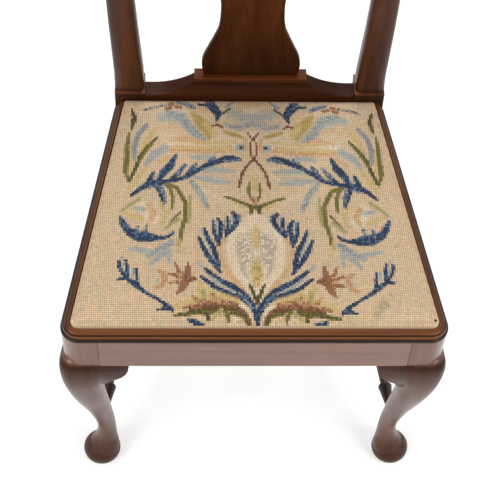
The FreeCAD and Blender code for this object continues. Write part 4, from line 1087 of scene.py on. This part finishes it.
# Each motif's strokes: the wool or the wools mixed, how softly its edge is shaded, and the line that
# it follows in the view with its half width, all in pixels. A half width below nothing only tints.
cartoon = {
    "washes": [
        ("cream", 26.0, [(205, 140, -2), (256, 138, 2)]),
        ("cream", 22.0, [(200, 190, -4), (240, 205, -2)]),
        ("peach", 5.0, [(150, 130, -1), (172, 126, 0.4), (194, 133, -0.4)]),
        ("peach", 4.0, [(183, 120, -0.6), (197, 133, 0)]),
        ("straw", 6.0, [(140, 118, -1.4), (160, 126, -1)]),
        ("pale blue", 5.0, [(196, 154, -0.4), (216, 153, 0.2)]),
        ("pale blue", 5.0, [(202, 176, -0.6), (226, 177, 0)]),
        ("straw", 7.0, [(140, 195, -1.6), (156, 222, -1.2)]),
        ("cream", 8.0, [(186, 300, -1), (214, 288, -1), (240, 298, -1)]),
    ],
    "wings": [
        ("pale blue", 5.0, [(160, 118, 3), (172, 116, 5), (184, 120, 5)]),
        ("pale blue/slate", 3.0, [
            (168, 113, 2), (182, 117, 3.5), (189, 127, 4), (199, 137, 3.5), (207, 142, 1.5),
        ]),
        ("gold", 3.5, [(193, 114, 2), (200, 122, 5), (207, 129, 5), (209, 138, 2)]),
        ("straw", 3.0, [(205, 124, 2), (212, 132, 3), (216, 139, 1)]),
        ("pale blue", 8.0, [(230, 113, 3), (242, 117, 5), (257, 117, 5)]),
        ("cream", 6.0, [(246, 111, 1), (257, 112, 2)]),
        ("peach", 2.5, [(238, 104, 1.5), (258, 105, 2)]),
        ("slate/pale blue", 4.0, [(226, 124.5, 1.4), (237, 128, 2.2), (249, 125.6, 2), (258, 121, 1)]),
        ("slate", 1.4, [(226, 107, 1), (234, 102, 1)]),
    ],
    "florets": [
        ("slate/dark olive", 1.0, [(144, 110, 0.7), (153, 107.4, 0.9), (166, 105.3, 0.7)]),
        ("rust", 1.0, [(169, 104.4, 1.1), (173, 104, 1.3)]),
        ("rust", 1.0, [(167, 108.6, 1.5), (171, 107.6, 1.5)]),
        ("rust", 1.0, [(176, 106.6, 1.4), (181, 107.4, 1.3)]),
        ("slate/blue", 1.4, [(178, 102.4, 1), (186, 104.3, 1.8), (194, 107.6, 1.4)]),
    ],
    "dart": [
        ("navy", 1.0, [(199, 104.3, 0.8), (207, 105.5, 1.1), (213, 111, 1.8)]),
        ("navy/blue", 1.0, [(206, 101.6, 1), (212, 103.6, 2.4), (215.5, 108, 2.6)]),
        ("navy", 1.0, [(216, 110, 2.6), (218, 114, 3.6), (216.5, 120.5, 0.9)]),
        ("dark olive", 0.8, [(222, 113.6, 0.8), (230, 108.6, 0.7)]),
        ("brown", 0.8, [(213, 126, 0.8), (217.6, 124.5, 0.9), (222.6, 127.4, 0.8)]),
    ],
    "birds": [
        ("cream", 6.0, [(170, 144, 3), (195, 147, 5), (225, 146, 5), (240, 145, 4)]),
        ("straw", 3.0, [(172, 147, 1), (200, 149, 1.6), (232, 148, 1)]),
        ("straw", 3.0, [(180, 141, 1), (205, 143, 1.4), (236, 142, 1)]),
        ("peach", 2.0, [(172, 140.5, 1.2), (186, 137, 1.4), (202, 141, 1)]),
        ("peach/tan", 1.6, [(172, 150, 1.1), (190, 151, 1.2), (212, 152, 1.3), (233, 150, 0.9)]),
        ("straw/gold", 2.6, [(176, 146, -0.2), (198, 146.4, 0.2), (230, 146, -0.2)]),
        ("pale blue", 3.0, [(192, 157, 1.6), (212, 157, 2)]),
        ("gold", 1.6, [(224, 131.8, 1.2), (233, 134.6, 1.7), (242, 137.4, 1)]),
        ("pale blue", 2.4, [(239, 147.5, 3.4), (243, 148, 3.2)]),
        ("navy/dark olive", 0.8, [(241.4, 147.4, 1.5)]),
    ],
    "corner leaves": [
        ("dark olive", 1.2, [(132.2, 110, 0.8), (134.5, 118, 2.2), (133, 123, 1.8), (131.4, 129, 0.8)]),
        ("olive", 1.4, [(129, 133, 0.8), (127, 146, 2), (127, 160, 2.6), (125.5, 171, 2.4), (129, 181, 1)]),
        ("straw", 1.4, [(131, 146, 1), (131, 162, 1.4), (129, 174, 1)]),
        ("straw", 2.0, [(155, 129, 1.4), (148, 139, 2.2), (141, 150, 1.6)]),
        ("slate", 1.6, [(147, 125, 1.6), (138, 135, 2.2), (134.5, 146, 2.2), (134.5, 159, 1.6)]),
        ("dark olive", 1.2, [
            (156.5, 138, 0.9), (148.3, 146, 1.5), (140, 157, 1.8), (135.6, 168, 1.8), (130, 180, 1),
        ]),
        ("olive", 1.2, [(154, 141, 0.8), (146, 150.5, 1.3), (138.5, 162, 1.3)]),
        ("straw", 2.0, [(146, 168, 1.6), (137, 179, 2.6), (130, 189, 1.6)]),
        ("pale blue", 3.0, [(166, 148, 3.2), (153, 155, 3.8), (146, 164, 1.8)]),
        ("peach", 2.0, [(170, 156, 1.2), (160, 162, 1.6)]),
    ],
    "pale plumes": [
        ("pale blue", 2.6, [(194, 170, 1.6), (212, 169.4, 2.8), (234, 171, 1.2)]),
        ("pale blue", 2.6, [(193, 177, 1.6), (210, 180, 2.6), (230, 183, 1.2)]),
        ("pale blue/pale blue/slate", 2.4, [(191, 181, 2), (200, 193, 3), (208, 208, 1.8)]),
    ],
    "blue sprays": [
        ("navy", 1.2, [
            (130.8, 196, 0.9), (141, 188, 2), (150, 184, 3.2), (158, 183, 2.8), (168, 181, 1.8),
            (182, 178.6, 1.8), (190, 175, 1.7), (198, 170, 1.8),
        ]),
        ("navy", 1.2, [
            (198, 170, 1.8), (206, 165.5, 2.1), (216, 162, 2.6), (225, 159, 2.8), (232, 157.6, 2.1),
            (240, 159.3, 0.9),
        ]),
        ("blue", 1.2, [(208, 161, 1), (214, 158.5, 1.4)]),
        ("blue", 1.4, [(226, 162, 0.8), (234, 160, 1.4), (240, 159.6, 0.9)]),
        ("navy", 1.2, [(149, 183, 3), (151, 177, 2.3), (153.4, 172.4, 0.9)]),
        ("navy/blue", 1.2, [(157, 182, 2.2), (163, 173, 3.5), (170.5, 165.5, 3.5), (175.8, 155.5, 1.4)]),
        ("navy", 1.0, [(159, 180, 1), (165, 170.5, 1.4), (173, 159, 0.9)]),
        ("pale blue", 0.9, [(156, 179, 0.7), (157.5, 174.5, 0.7)]),
        ("navy", 1.2, [(172, 178, 1.2), (179, 172.5, 2.2), (184, 166.5, 1.2)]),
        ("blue", 1.2, [(176, 174, 0.9), (182, 169, 1.6), (185.5, 165, 1)]),
        ("navy", 1.2, [(185.8, 176, 1.2), (191.5, 169.5, 2.1), (195.5, 164.5, 1)]),
        ("blue", 1.2, [(189, 171, 0.8), (195.5, 164, 1.4)]),
        ("navy", 1.2, [(156, 184, 2.2), (160.5, 193, 2), (163.5, 203.5, 1)]),
        ("blue", 1.2, [(162, 186, 1.2), (165, 197, 1.3), (164.6, 203, 0.9)]),
        ("blue", 1.2, [(150, 187.4, 0.8), (158, 186, 1)]),
    ],
    "stems": [
        ("olive", 1.2, [(165, 184.4, 1), (170, 188, 1.6), (172.5, 196, 1.7), (172, 208, 1.3)]),
        ("olive", 1.2, [
            (170, 184.6, 1.2), (177, 188, 1.7), (182, 196, 1.9), (186, 204, 2), (185.5, 217, 2.1),
            (182, 229, 1.9), (179, 245, 1.5),
        ]),
        ("green", 1.6, [(190, 196, 1), (190, 210, 1.4), (188.5, 222, 1.2)]),
        ("straw", 2.4, [(178, 238, 1), (180, 252, 1.2)]),
        ("brown/olive", 0.9, [(180, 212.4, 0.8), (174, 218.5, 0.9), (169, 224, 0.8)]),
        ("green", 2.0, [(178, 219, 1.4), (166, 228, 1.4)]),
    ],
    "flower heads": [
        ("cream", 3.0, [(146, 208, 7), (152, 216, 7)]),
        ("tan/peach", 3.0, [(148, 205, 1.6), (154, 213, 2.6), (150, 220, 1.2)]),
        ("green", 1.6, [(122, 211, 1), (130, 204.6, 1.4), (139, 199, 1.1)]),
        ("straw", 2.0, [(124, 213, 1.2), (134, 217, 2), (142, 219, 1.4)]),
        ("straw", 2.0, [(160, 203, 1.4), (166, 212, 2), (163, 223, 1.6)]),
        ("pale blue", 2.4, [(136, 208, 1.6), (144, 209.4, 1.8)]),
        ("peach", 1.8, [(151, 203, 1.2), (151.4, 211, 2.4), (153, 219, 1.6)]),
    ],
    "blue crescents": [
        ("navy/blue", 1.4, [
            (120.5, 217.4, 1.4), (123, 224, 3), (128, 231, 3.6), (135, 235, 4.2), (144, 236, 4.6),
            (153, 237, 3),
        ]),
        ("navy", 1.2, [(122, 224, 1), (128, 233.5, 1.6), (137, 239, 2), (150, 240, 1.4), (160, 238.5, 1.3)]),
        ("navy", 1.2, [
            (130, 230, 1.6), (142, 234.5, 2.2), (153, 237, 2), (163, 237.8, 1.4), (169, 236, 1.3),
            (173.6, 232.4, 0.9),
        ]),
        ("blue", 1.2, [(136, 232, 1.4), (137.4, 226.6, 1.2)]),
        ("blue", 1.2, [(146, 232, 1.4), (146.8, 226, 1.2)]),
    ],
    "grey feathers": [
        ("pale blue", 2.4, [(130, 248.6, 1.4), (145.5, 251, 2.6), (152, 252, 1.8)]),
        ("pale blue/slate", 2.2, [(148, 256, 1.8), (161.8, 248, 3), (172, 242, 2.6)]),
        ("pale blue", 2.2, [(151, 264, 1.6), (158, 257, 2.8), (169, 250, 2.8)]),
        ("pale blue", 2.2, [(169, 262, 1.6), (170, 252, 2.2)]),
    ],
    "knots": [
        ("brown", 0.8, [(247.8, 133.8, 0.6), (250.4, 136.4, 0.6), (252.6, 139, 0.5), (250.5, 142.5, 0.5)]),
        ("brown", 0.8, [(250.5, 142.5, 0.5), (250.4, 154, 0.5), (253.2, 159.4, 0.9)]),
        ("brown", 0.8, [(253.4, 159, 0.9), (248, 165, 1.0), (243, 172, 1.2), (241, 178, 1.1), (239, 187, 1.2)]),
        ("peach", 2.4, [(245, 140, 1.4), (247, 150, 1.4)]),
    ],
    "stars": [
        ("straw", 2.6, [(253, 179, 2.4), (254, 188, 2.4)]),
        ("olive", 1.0, [(249.4, 183.6, 0.9), (249, 189, 1.7), (249.6, 196.4, 1)]),
        ("olive", 1.0, [
            (224.5, 197, 0.7), (232, 198.6, 1.1), (240, 202, 1.4), (247, 204.8, 1.6), (252, 208.6, 1.6),
        ]),
        ("olive/dark olive", 1.0, [(250, 206.4, 1.8), (254, 207.4, 2.2)]),
        ("olive/dark olive", 1.0, [(251, 207, 1.5), (251.4, 212, 1.6), (252, 217, 1)]),
        ("rust/tan", 1.4, [(252, 199, 2), (255, 203, 2)]),
        ("straw", 1.8, [(234, 203, 1), (244, 208, 1.2)]),
    ],
    "pomegranate": [
        ("cream", 3.0, [(256, 230, 16), (256, 248, 29), (256, 264, 26), (256, 284, 13)]),
        ("mist/cream/mist", 7.0, [(254, 236, 5), (243, 245, 9), (246, 258, 7), (242, 268, 2)]),
        ("cream", 3.0, [(232, 256, 1.4), (236, 270, 2), (243, 282, 1.4)]),
        ("straw", 4.0, [(256, 229, 3), (256, 246, 3)]),
        ("straw/straw/gold", 3.4, [(256, 260, 2.4), (254, 272, 3.4), (256, 284, 2.6)]),
        ("mist", 2.6, [(240, 262, 1.0), (247, 277, 1.0)]),
        ("peach", 2.6, [
            (226, 237, 1), (220, 247, 1.8), (220, 257, 2.2), (225, 267, 2.6), (232, 277, 2.4), (241, 287, 2),
            (250, 299, 1.6),
        ]),
        ("cream", 2.0, [(233, 241, 1.4), (231, 258, 1.8), (238, 274, 1.4)]),
        ("dark olive", 1.0, [(249.5, 284, 0.7), (252.5, 291, 1.7), (256, 299, 1.4), (257.5, 304, 1)]),
    ],
    "blue fingers": [
        ("pale blue", 1.2, [(202, 230, 0.9), (207, 242, 1.1), (212, 254, 1.1), (218, 266, 0.8)]),
        ("pale blue", 1.2, [(212, 219, 0.9), (217, 224, 1.2), (218.8, 237, 0.9)]),
        ("pale blue", 1.2, [(224, 222, 0.9), (231, 217, 1.1), (230, 230, 0.9)]),
        ("pale blue", 1.4, [(199, 263, 1.6), (204, 268, 1.4)]),
        ("navy", 1.0, [(199, 238, 1.2), (203, 247, 2.1), (208, 255.5, 2.2), (214, 264, 2), (221, 272.5, 0.9)]),
        ("navy", 1.0, [
            (204, 228.6, 1.1), (208, 238, 1.9), (213.6, 248, 2.3), (216.8, 258, 2.1), (219, 267, 1.2),
        ]),
        ("navy", 1.0, [(213, 221.8, 1.1), (214.2, 232, 1.7), (217.6, 241.5, 1.6)]),
        ("navy", 1.0, [(218, 219, 1.2), (221.2, 225, 2), (221, 234, 2), (218.6, 245, 1.1)]),
        ("navy", 1.0, [(227.6, 217, 1.2), (227.8, 225.5, 1.6), (226, 235, 1.3)]),
        ("navy", 1.0, [
            (233, 213, 1.5), (237.4, 218, 2.8), (236, 224, 2.5), (230.5, 231, 1.8), (225.5, 235.8, 0.9),
        ]),
        ("blue", 1.0, [(239, 215, 0.8), (240.5, 221, 0.9)]),
    ],
    "blue base leaves": [
        ("pale blue", 1.2, [(206, 273, 0.9), (217, 282, 1.4), (233, 290.5, 1.3)]),
        ("navy", 1.0, [
            (205.5, 269, 1.2), (214, 275.5, 1.8), (223, 281.6, 1.8), (232, 286, 2.3), (240.5, 292, 3),
            (247, 299, 3.3), (253, 307, 2.9), (256.8, 315, 2.3), (258, 328, 2),
        ]),
        ("navy", 1.0, [
            (201, 276.6, 1.1), (208, 281.8, 1.7), (216.8, 288, 1.9), (228, 293, 2.1), (239, 297, 2.2),
            (246, 301, 1.6),
        ]),
        ("blue", 1.0, [(238, 292, 0.8), (246, 300, 1), (252, 309, 0.8)]),
        ("cream", 1.4, [(236, 302, 0.9), (246, 308, 1.2), (252, 320, 1)]),
    ],
    "maple leaves": [
        ("tan", 1.2, [
            (158, 270.5, 1.1), (164, 273, 2.2), (165, 279, 2.4), (162, 285.5, 2.3), (155, 288.6, 1.2),
        ]),
        ("pale blue", 1.4, [(158, 280, 1.3)]),
        ("rust/tan", 1.2, [(182, 277, 5), (182, 283, 4.4)]),
        ("rust/tan", 1.0, [(179, 271, 2), (175.5, 263, 0.9)]),
        ("rust/tan", 1.0, [(177, 275.4, 2.2), (169, 273.4, 1)]),
        ("rust/tan", 1.0, [(177, 281.6, 2.2), (169, 283, 1)]),
        ("rust", 1.0, [(187, 278, 4.6), (187.6, 270, 3), (188.4, 263, 1)]),
        ("rust/brown", 1.0, [(188, 278, 3.6), (192, 278.6, 2.8), (196, 279, 1)]),
        ("rust", 1.0, [(184, 284, 4), (181.5, 288.5, 2.8), (177.4, 293.6, 0.9)]),
    ],
    "acanthus": [
        ("straw", 5.0, [(177, 307, 2), (194, 300, 3.4), (214, 295.6, 3.4), (236, 300.6, 2.6)]),
        ("straw", 3.0, [(200, 284, 2.4), (202, 292, 4)]),
        ("green", 2.6, [(203, 291, 1.8), (204, 298, 1.8)]),
        ("straw", 3.0, [(210, 292, 2), (224, 297, 2.2), (238, 302, 1.6)]),
        ("straw", 3.0, [(176, 309, 2), (188, 302, 3)]),
        ("tan/gold/rust", 1.2, [(193, 296, 1.1), (197, 300, 2), (203, 303, 2)]),
        ("tan/gold/rust", 1.2, [(212.6, 294.6, 1.5), (216.4, 298.6, 2), (224, 302, 1.8)]),
        ("rust/tan", 1.8, [
            (183, 307.6, 1.2), (194, 305.6, 2.6), (204, 302.6, 2.6), (214, 301.6, 2.6), (226, 303, 2.8),
            (236, 305, 2.6),
        ]),
        ("brown/brown/rust", 1.6, [
            (190, 308.6, 1.6), (203, 307, 2.6), (216, 306, 2.8), (226, 307.6, 2.8), (236, 308, 2.6),
            (243, 312, 2.4), (248.4, 318, 1.8), (251, 327, 1.4),
        ]),
        ("dark olive/brown", 1.8, [(190, 311, 0.8), (206, 309.6, 1.2), (224, 308.8, 1.2), (238, 310.6, 1.4)]),
        ("olive/dark olive", 1.4, [
            (174, 315.5, 1), (185.5, 314, 1.9), (195.5, 312, 2.2), (206, 312.5, 2.4), (214, 312, 1.8),
            (223, 310, 1.6),
        ]),
        ("olive/dark olive", 1.2, [(207, 314, 2), (208.4, 319.5, 1.8)]),
        ("green/green/straw", 2.0, [(213, 318, 2), (218.6, 314, 2.4), (221, 309.4, 1.6)]),
        ("olive", 1.4, [(226, 312, 2), (228, 317.5, 2.2), (229, 322, 1)]),
        ("olive/dark olive", 1.4, [(232, 313, 1.8), (238, 314, 2), (245, 317, 1.8), (249.5, 327, 1.2)]),
        ("cream/straw", 2.0, [(236, 321, 1.8), (242, 323, 2)]),
    ],
    "blue sprigs": [
        ("pale blue", 1.6, [(121.8, 257.5, 1.8)]),
        ("navy", 1.2, [(119, 262, 1.4), (119.5, 267, 1.9), (123, 273, 1.9), (127, 279, 1.8)]),
        ("navy", 1.2, [(125.6, 260.5, 1.2), (127.2, 268, 1.7), (127.6, 275, 1.6)]),
        ("pale blue", 1.0, [(122, 264, 0.9), (124, 271, 0.8)]),
        ("navy", 1.0, [
            (118, 279, 0.8), (126, 278.6, 1.4), (131, 281.5, 2.2), (137, 285.5, 2.6), (142, 290, 1.8),
            (150.5, 295, 1.3), (160.5, 301, 1.4),
        ]),
        ("navy", 1.0, [(160.5, 301, 1.4), (167, 305.6, 2.2), (172.4, 310, 1.4)]),
        ("navy", 1.0, [(136, 269, 1.1), (136.8, 277, 1.5), (137, 284, 1.6)]),
        ("pale blue", 1.2, [(132.6, 268, 0.9), (133, 276, 0.9)]),
        ("navy", 1.0, [(158, 309.8, 0.8), (164, 308.8, 1.5), (170, 308.4, 2)]),
        ("navy", 1.2, [(188.6, 319.8, 1.6), (195.5, 322.4, 2.8), (203, 326.4, 2.4)]),
    ],
}

# Where the wool is rubbed on one side only: the spot in the view and its reach in pixels, and how far
# it is worn.
worn_spots = [(384, 305, 5.0, 0.75), (377, 314, 5.0, 0.5), (395, 298, 6.0, 0.25), (352, 318, 6.0, 0.2)]


def linear(byte):
    share = byte / 255
    return share / 12.92 if share <= 0.04045 else ((share + 0.055) / 1.055) ** 2.4


def dyed(name):
    return np.array([linear(c) for c in wools[name]])


def in_view(x, y, z):
    """Where places on the rod show in the view, in pixels."""
    offset = np.stack([x, y, z], -1) - np.array(view_place)
    deep = offset @ np.array(ahead)
    across = photo_size / 2 + photo_focal * (offset @ np.array(view_right)) / deep
    return across, photo_size / 2 - photo_focal * (offset @ np.array(view_up)) / deep


columns = 2 * int(seat_half / stitch + 2)
rows = int(seat_back / stitch) + 2
first_x, first_y = -stitch * columns / 2, 0.0
grid_x = first_x + stitch * (np.arange(columns) + 0.5)
grid_y = first_y + stitch * (np.arange(rows) + 0.5)
plan_x, plan_y = np.meshgrid(grid_x, grid_y, indexing="ij")
height = np.vectorize(crown)(plan_x, plan_y)
on_right = plan_x > needle_axis
drawn_x = np.where(on_right, 2 * needle_axis - plan_x, plan_x)
slipped = right_slip * np.clip((plan_x - needle_axis) / slip_over, 0, 1)
drawn_y = plan_y + np.where(on_right, slipped, 0.0)
seen_x, seen_y = in_view(drawn_x, drawn_y, height)
chance = wool_rng.random((columns, rows))
ragged = wool_rng.normal(0.0, edge_ragged, (columns, rows))
dyes = np.empty((columns, rows, 3))
plain_wool = dyed("ground")
dyes[:] = plain_wool
for wool, soft, line in (stroke for motif in cartoon.values() for stroke in motif):
    skeins = np.array([dyed(name) for name in faded.get(wool, wool).split("/")])
    dye = skeins[(chance * len(skeins)).astype(int)]
    bold = navy_bold if "navy" in wool else plain_bold
    stops = line if len(line) > 1 else line * 2
    cover_share = np.zeros((columns, rows))
    for (x0, y0, r0), (x1, y1, r1) in zip(stops, stops[1:]):
        run_x, run_y = x1 - x0, y1 - y0
        run = max(run_x * run_x + run_y * run_y, 1e-6)
        t = np.clip(((seen_x - x0) * run_x + (seen_y - y0) * run_y) / run, 0, 1)
        off = np.hypot(seen_x - x0 - t * run_x, seen_y - y0 - t * run_y) + ragged
        inside = r0 + (r1 - r0) * t + bold - off
        cover_share = np.maximum(cover_share, np.clip(inside / soft + 0.5, 0, 1))
    dyes += (dye - dyes) * cover_share[..., None]
straight_x, straight_y = in_view(plan_x, plan_y, height)
for px, py, reach, share in worn_spots:
    rubbed = share * np.exp(-((straight_x - px) ** 2 + (straight_y - py) ** 2) / reach**2) * (0.5 + chance)
    dyes += (dyed("worn") - dyes) * np.clip(rubbed, 0, 1)[..., None]
dyes *= wool_rng.normal(1.0, wool_uneven, (columns, rows, 1))

cover = bmesh.new()
canvas = bmesh.ops.create_grid(cover, x_segments=columns, y_segments=rows, size=0.5)["verts"]
for vert in canvas:
    x = first_x + (vert.co.x + 0.5) * columns * stitch
    vert.co = spot(x, first_y + (vert.co.y + 0.5) * rows * stitch, 0)
cut_plan(cover, cover_inset, cover_near, cover_far, cover_front_round, cover_rear_round)
for score in edge_scores:
    cut_plan(
        cover, cover_inset + score, cover_near + score, cover_far - score, cover_front_round - score,
        score_rear_round - score, trim=False,
    )
for vert in cover.verts:
    vert.co.z = crown(vert.co.x * 1000, (vert.co.y - rail_face) * 1000) / 1000
top_faces = set(cover.faces)
cover_mid = (cover_near + cover_far) / 2
for lower, inward in ((hem_low + hem_fold, 0.0), (hem_low, hem_fold), (hem_low, hem_width - hem_fold)):
    rim_edges = [e for e in cover.edges if e.is_boundary]
    drawn = bmesh.ops.extrude_edge_only(cover, edges=rim_edges)["geom"]
    for vert in (g for g in drawn if isinstance(g, bmesh.types.BMVert)):
        x, y = vert.co.x * 1000, (vert.co.y - rail_face) * 1000
        x *= 1 - inward / side_x(cover_mid, cover_inset)
        y -= (y - cover_mid) * 2 * inward / (cover_far - cover_near)
        vert.co = spot(x, y, lower)
bmesh.ops.recalc_face_normals(cover, faces=cover.faces)
whole = [f for f in top_faces if len(f.verts) == 4 and f.calc_area() > stitch_whole * (stitch / 1000) ** 2]
bmesh.ops.poke(cover, faces=whole, offset=stitch_rise)
cover_mesh = as_mesh(cover)
cover_dye_and_painted_light = cover_mesh.color_attributes.new("wool", "FLOAT_COLOR", "CORNER")
corners = np.empty(len(cover_mesh.vertices) * 3)
cover_mesh.vertices.foreach_get("co", corners)
corners = corners.reshape(-1, 3)
shades = np.ones((len(cover_mesh.loops), 4))
# Each stitch's corners take its dye with a painted highlight along the middle and painted shade at the sides; the
# skirt stays plain ground wool.
for face in cover_mesh.polygons:
    i = min(max(int((face.center.x * 1000 - first_x) / stitch), 0), columns - 1)
    j = min(max(int(((face.center.y - rail_face) * 1000 - first_y) / stitch), 0), rows - 1)
    if face.normal.z < skirt_slope:
        shades[list(face.loop_indices), :3] = plain_wool
        continue
    for loop in face.loop_indices:
        place = corners[cover_mesh.loops[loop].vertex_index]
        raised = (place[0] * 1000 - first_x) / stitch % 1
        shades[loop, :3] = dyes[i, j] * (stitch_painted_highlight if ridge_from < raised < ridge_to else stitch_painted_shade)
cover_dye_and_painted_light.data.foreach_set("color", shades.ravel())
wool_cloth = cloth("needlework_wool", 1000 / stitch, 0.0003, attribute="wool", gap=0.4)
needlework = put_in(
    cover_mesh, "needlework_seat", wool_cloth, "drop_in_seat", "needlework", "needlework_cover", crease=80
)

# Corner tack. One small round iron tack driven through the needlework at the seat's front right
# corner, where an old repair holds the canvas down.
tack_x, tack_y = 251.0, 21.5
tack_round = 2.2
tack_proud = 0.3
corner_tack = bmesh.new()
bmesh.ops.create_uvsphere(corner_tack, u_segments=18, v_segments=10, radius=tack_round / 1000)
bmesh.ops.scale(corner_tack, vec=(1, 1, 0.5), verts=corner_tack.verts)
tack_place = spot(tack_x, tack_y, crown(tack_x, tack_y) + tack_proud)
bmesh.ops.translate(corner_tack, vec=tack_place, verts=corner_tack.verts)
put_in(as_mesh(corner_tack), "corner_tack", tack_iron, "drop_in_seat", "iron")

# Floor and light. The chair stands on a plain white floor that keeps its shadow, between two wide
# soft lights at the front left and front right and one behind, with an even light all round.
floor_drop = 0.0003
floor_bm = bmesh.new()
bmesh.ops.create_grid(floor_bm, x_segments=1, y_segments=1, size=20)
bmesh.ops.translate(floor_bm, vec=(0, 0, -floor_drop), verts=floor_bm.verts)
floor_mesh = as_mesh(floor_bm)
floor = bpy.data.objects.new("floor", floor_mesh)
bpy.context.scene.collection.objects.link(floor)


def seen_or_mirrored(tree):
    """One where a ray comes from the camera, or by way of a reflection or a clear piece."""
    path = tree.nodes.new("ShaderNodeLightPath")
    total = path.outputs["Is Camera Ray"]
    for name in ("Is Glossy Ray", "Is Transmission Ray"):
        total = maths(tree, "MAXIMUM", total, path.outputs[name])
    return total


white = bpy.data.materials.new("white_floor")
white.use_nodes = True
tree = white.node_tree
tree.nodes.remove(tree.nodes["Principled BSDF"])
bounce = add_node(tree, "ShaderNodeBsdfDiffuse", Color=(0.8, 0.8, 0.8, 1))
shown = add_node(tree, "ShaderNodeBsdfDiffuse", Color=(0.75, 0.75, 0.75, 1))
glow = add_node(tree, "ShaderNodeEmission", Color=(1, 1, 1, 1), Strength=0.47)
lit = tree.nodes.new("ShaderNodeAddShader")
tree.links.new(shown.outputs[0], lit.inputs[0])
tree.links.new(glow.outputs[0], lit.inputs[1])
pick = tree.nodes.new("ShaderNodeMixShader")
tree.links.new(seen_or_mirrored(tree), pick.inputs["Fac"])
tree.links.new(bounce.outputs[0], pick.inputs[1])
tree.links.new(lit.outputs[0], pick.inputs[2])
tree.links.new(pick.outputs[0], tree.nodes["Material Output"].inputs["Surface"])
floor_mesh.materials.append(white)


def soft_light(name, place, aim, size, power):
    light = bpy.data.lights.new(name, "AREA")
    light.shape = "SQUARE"
    light.size = size
    light.energy = power
    lamp = bpy.data.objects.new(name, light)
    lamp.location = place
    lamp.rotation_euler = (Vector(aim) - Vector(place)).to_track_quat("-Z", "Y").to_euler()
    bpy.context.scene.collection.objects.link(lamp)


soft_light("left_softbox", (-2.0, -1.9, 2.3), (0, 0, 0.3), 1.6, 45)
soft_light("right_softbox", (2.0, -1.9, 2.3), (0, 0, 0.3), 1.6, 45)
soft_light("back_softbox", (0.0, 2.6, 2.4), (0, 0, 0.5), 1.8, 32)
world = bpy.data.worlds.new("studio")
world.use_nodes = True
tree = world.node_tree
dim = tree.nodes["Background"]
dim.inputs["Color"].default_value = (1, 1, 1, 1)
dim.inputs["Strength"].default_value = 0.45
bright = add_node(tree, "ShaderNodeBackground", Color=(1, 1, 1, 1), Strength=0.92)
pick = tree.nodes.new("ShaderNodeMixShader")
tree.links.new(seen_or_mirrored(tree), pick.inputs["Fac"])
tree.links.new(dim.outputs[0], pick.inputs[1])
tree.links.new(bright.outputs[0], pick.inputs[2])
tree.links.new(pick.outputs[0], tree.nodes["World Output"].inputs["Surface"])
bpy.context.scene.world = world
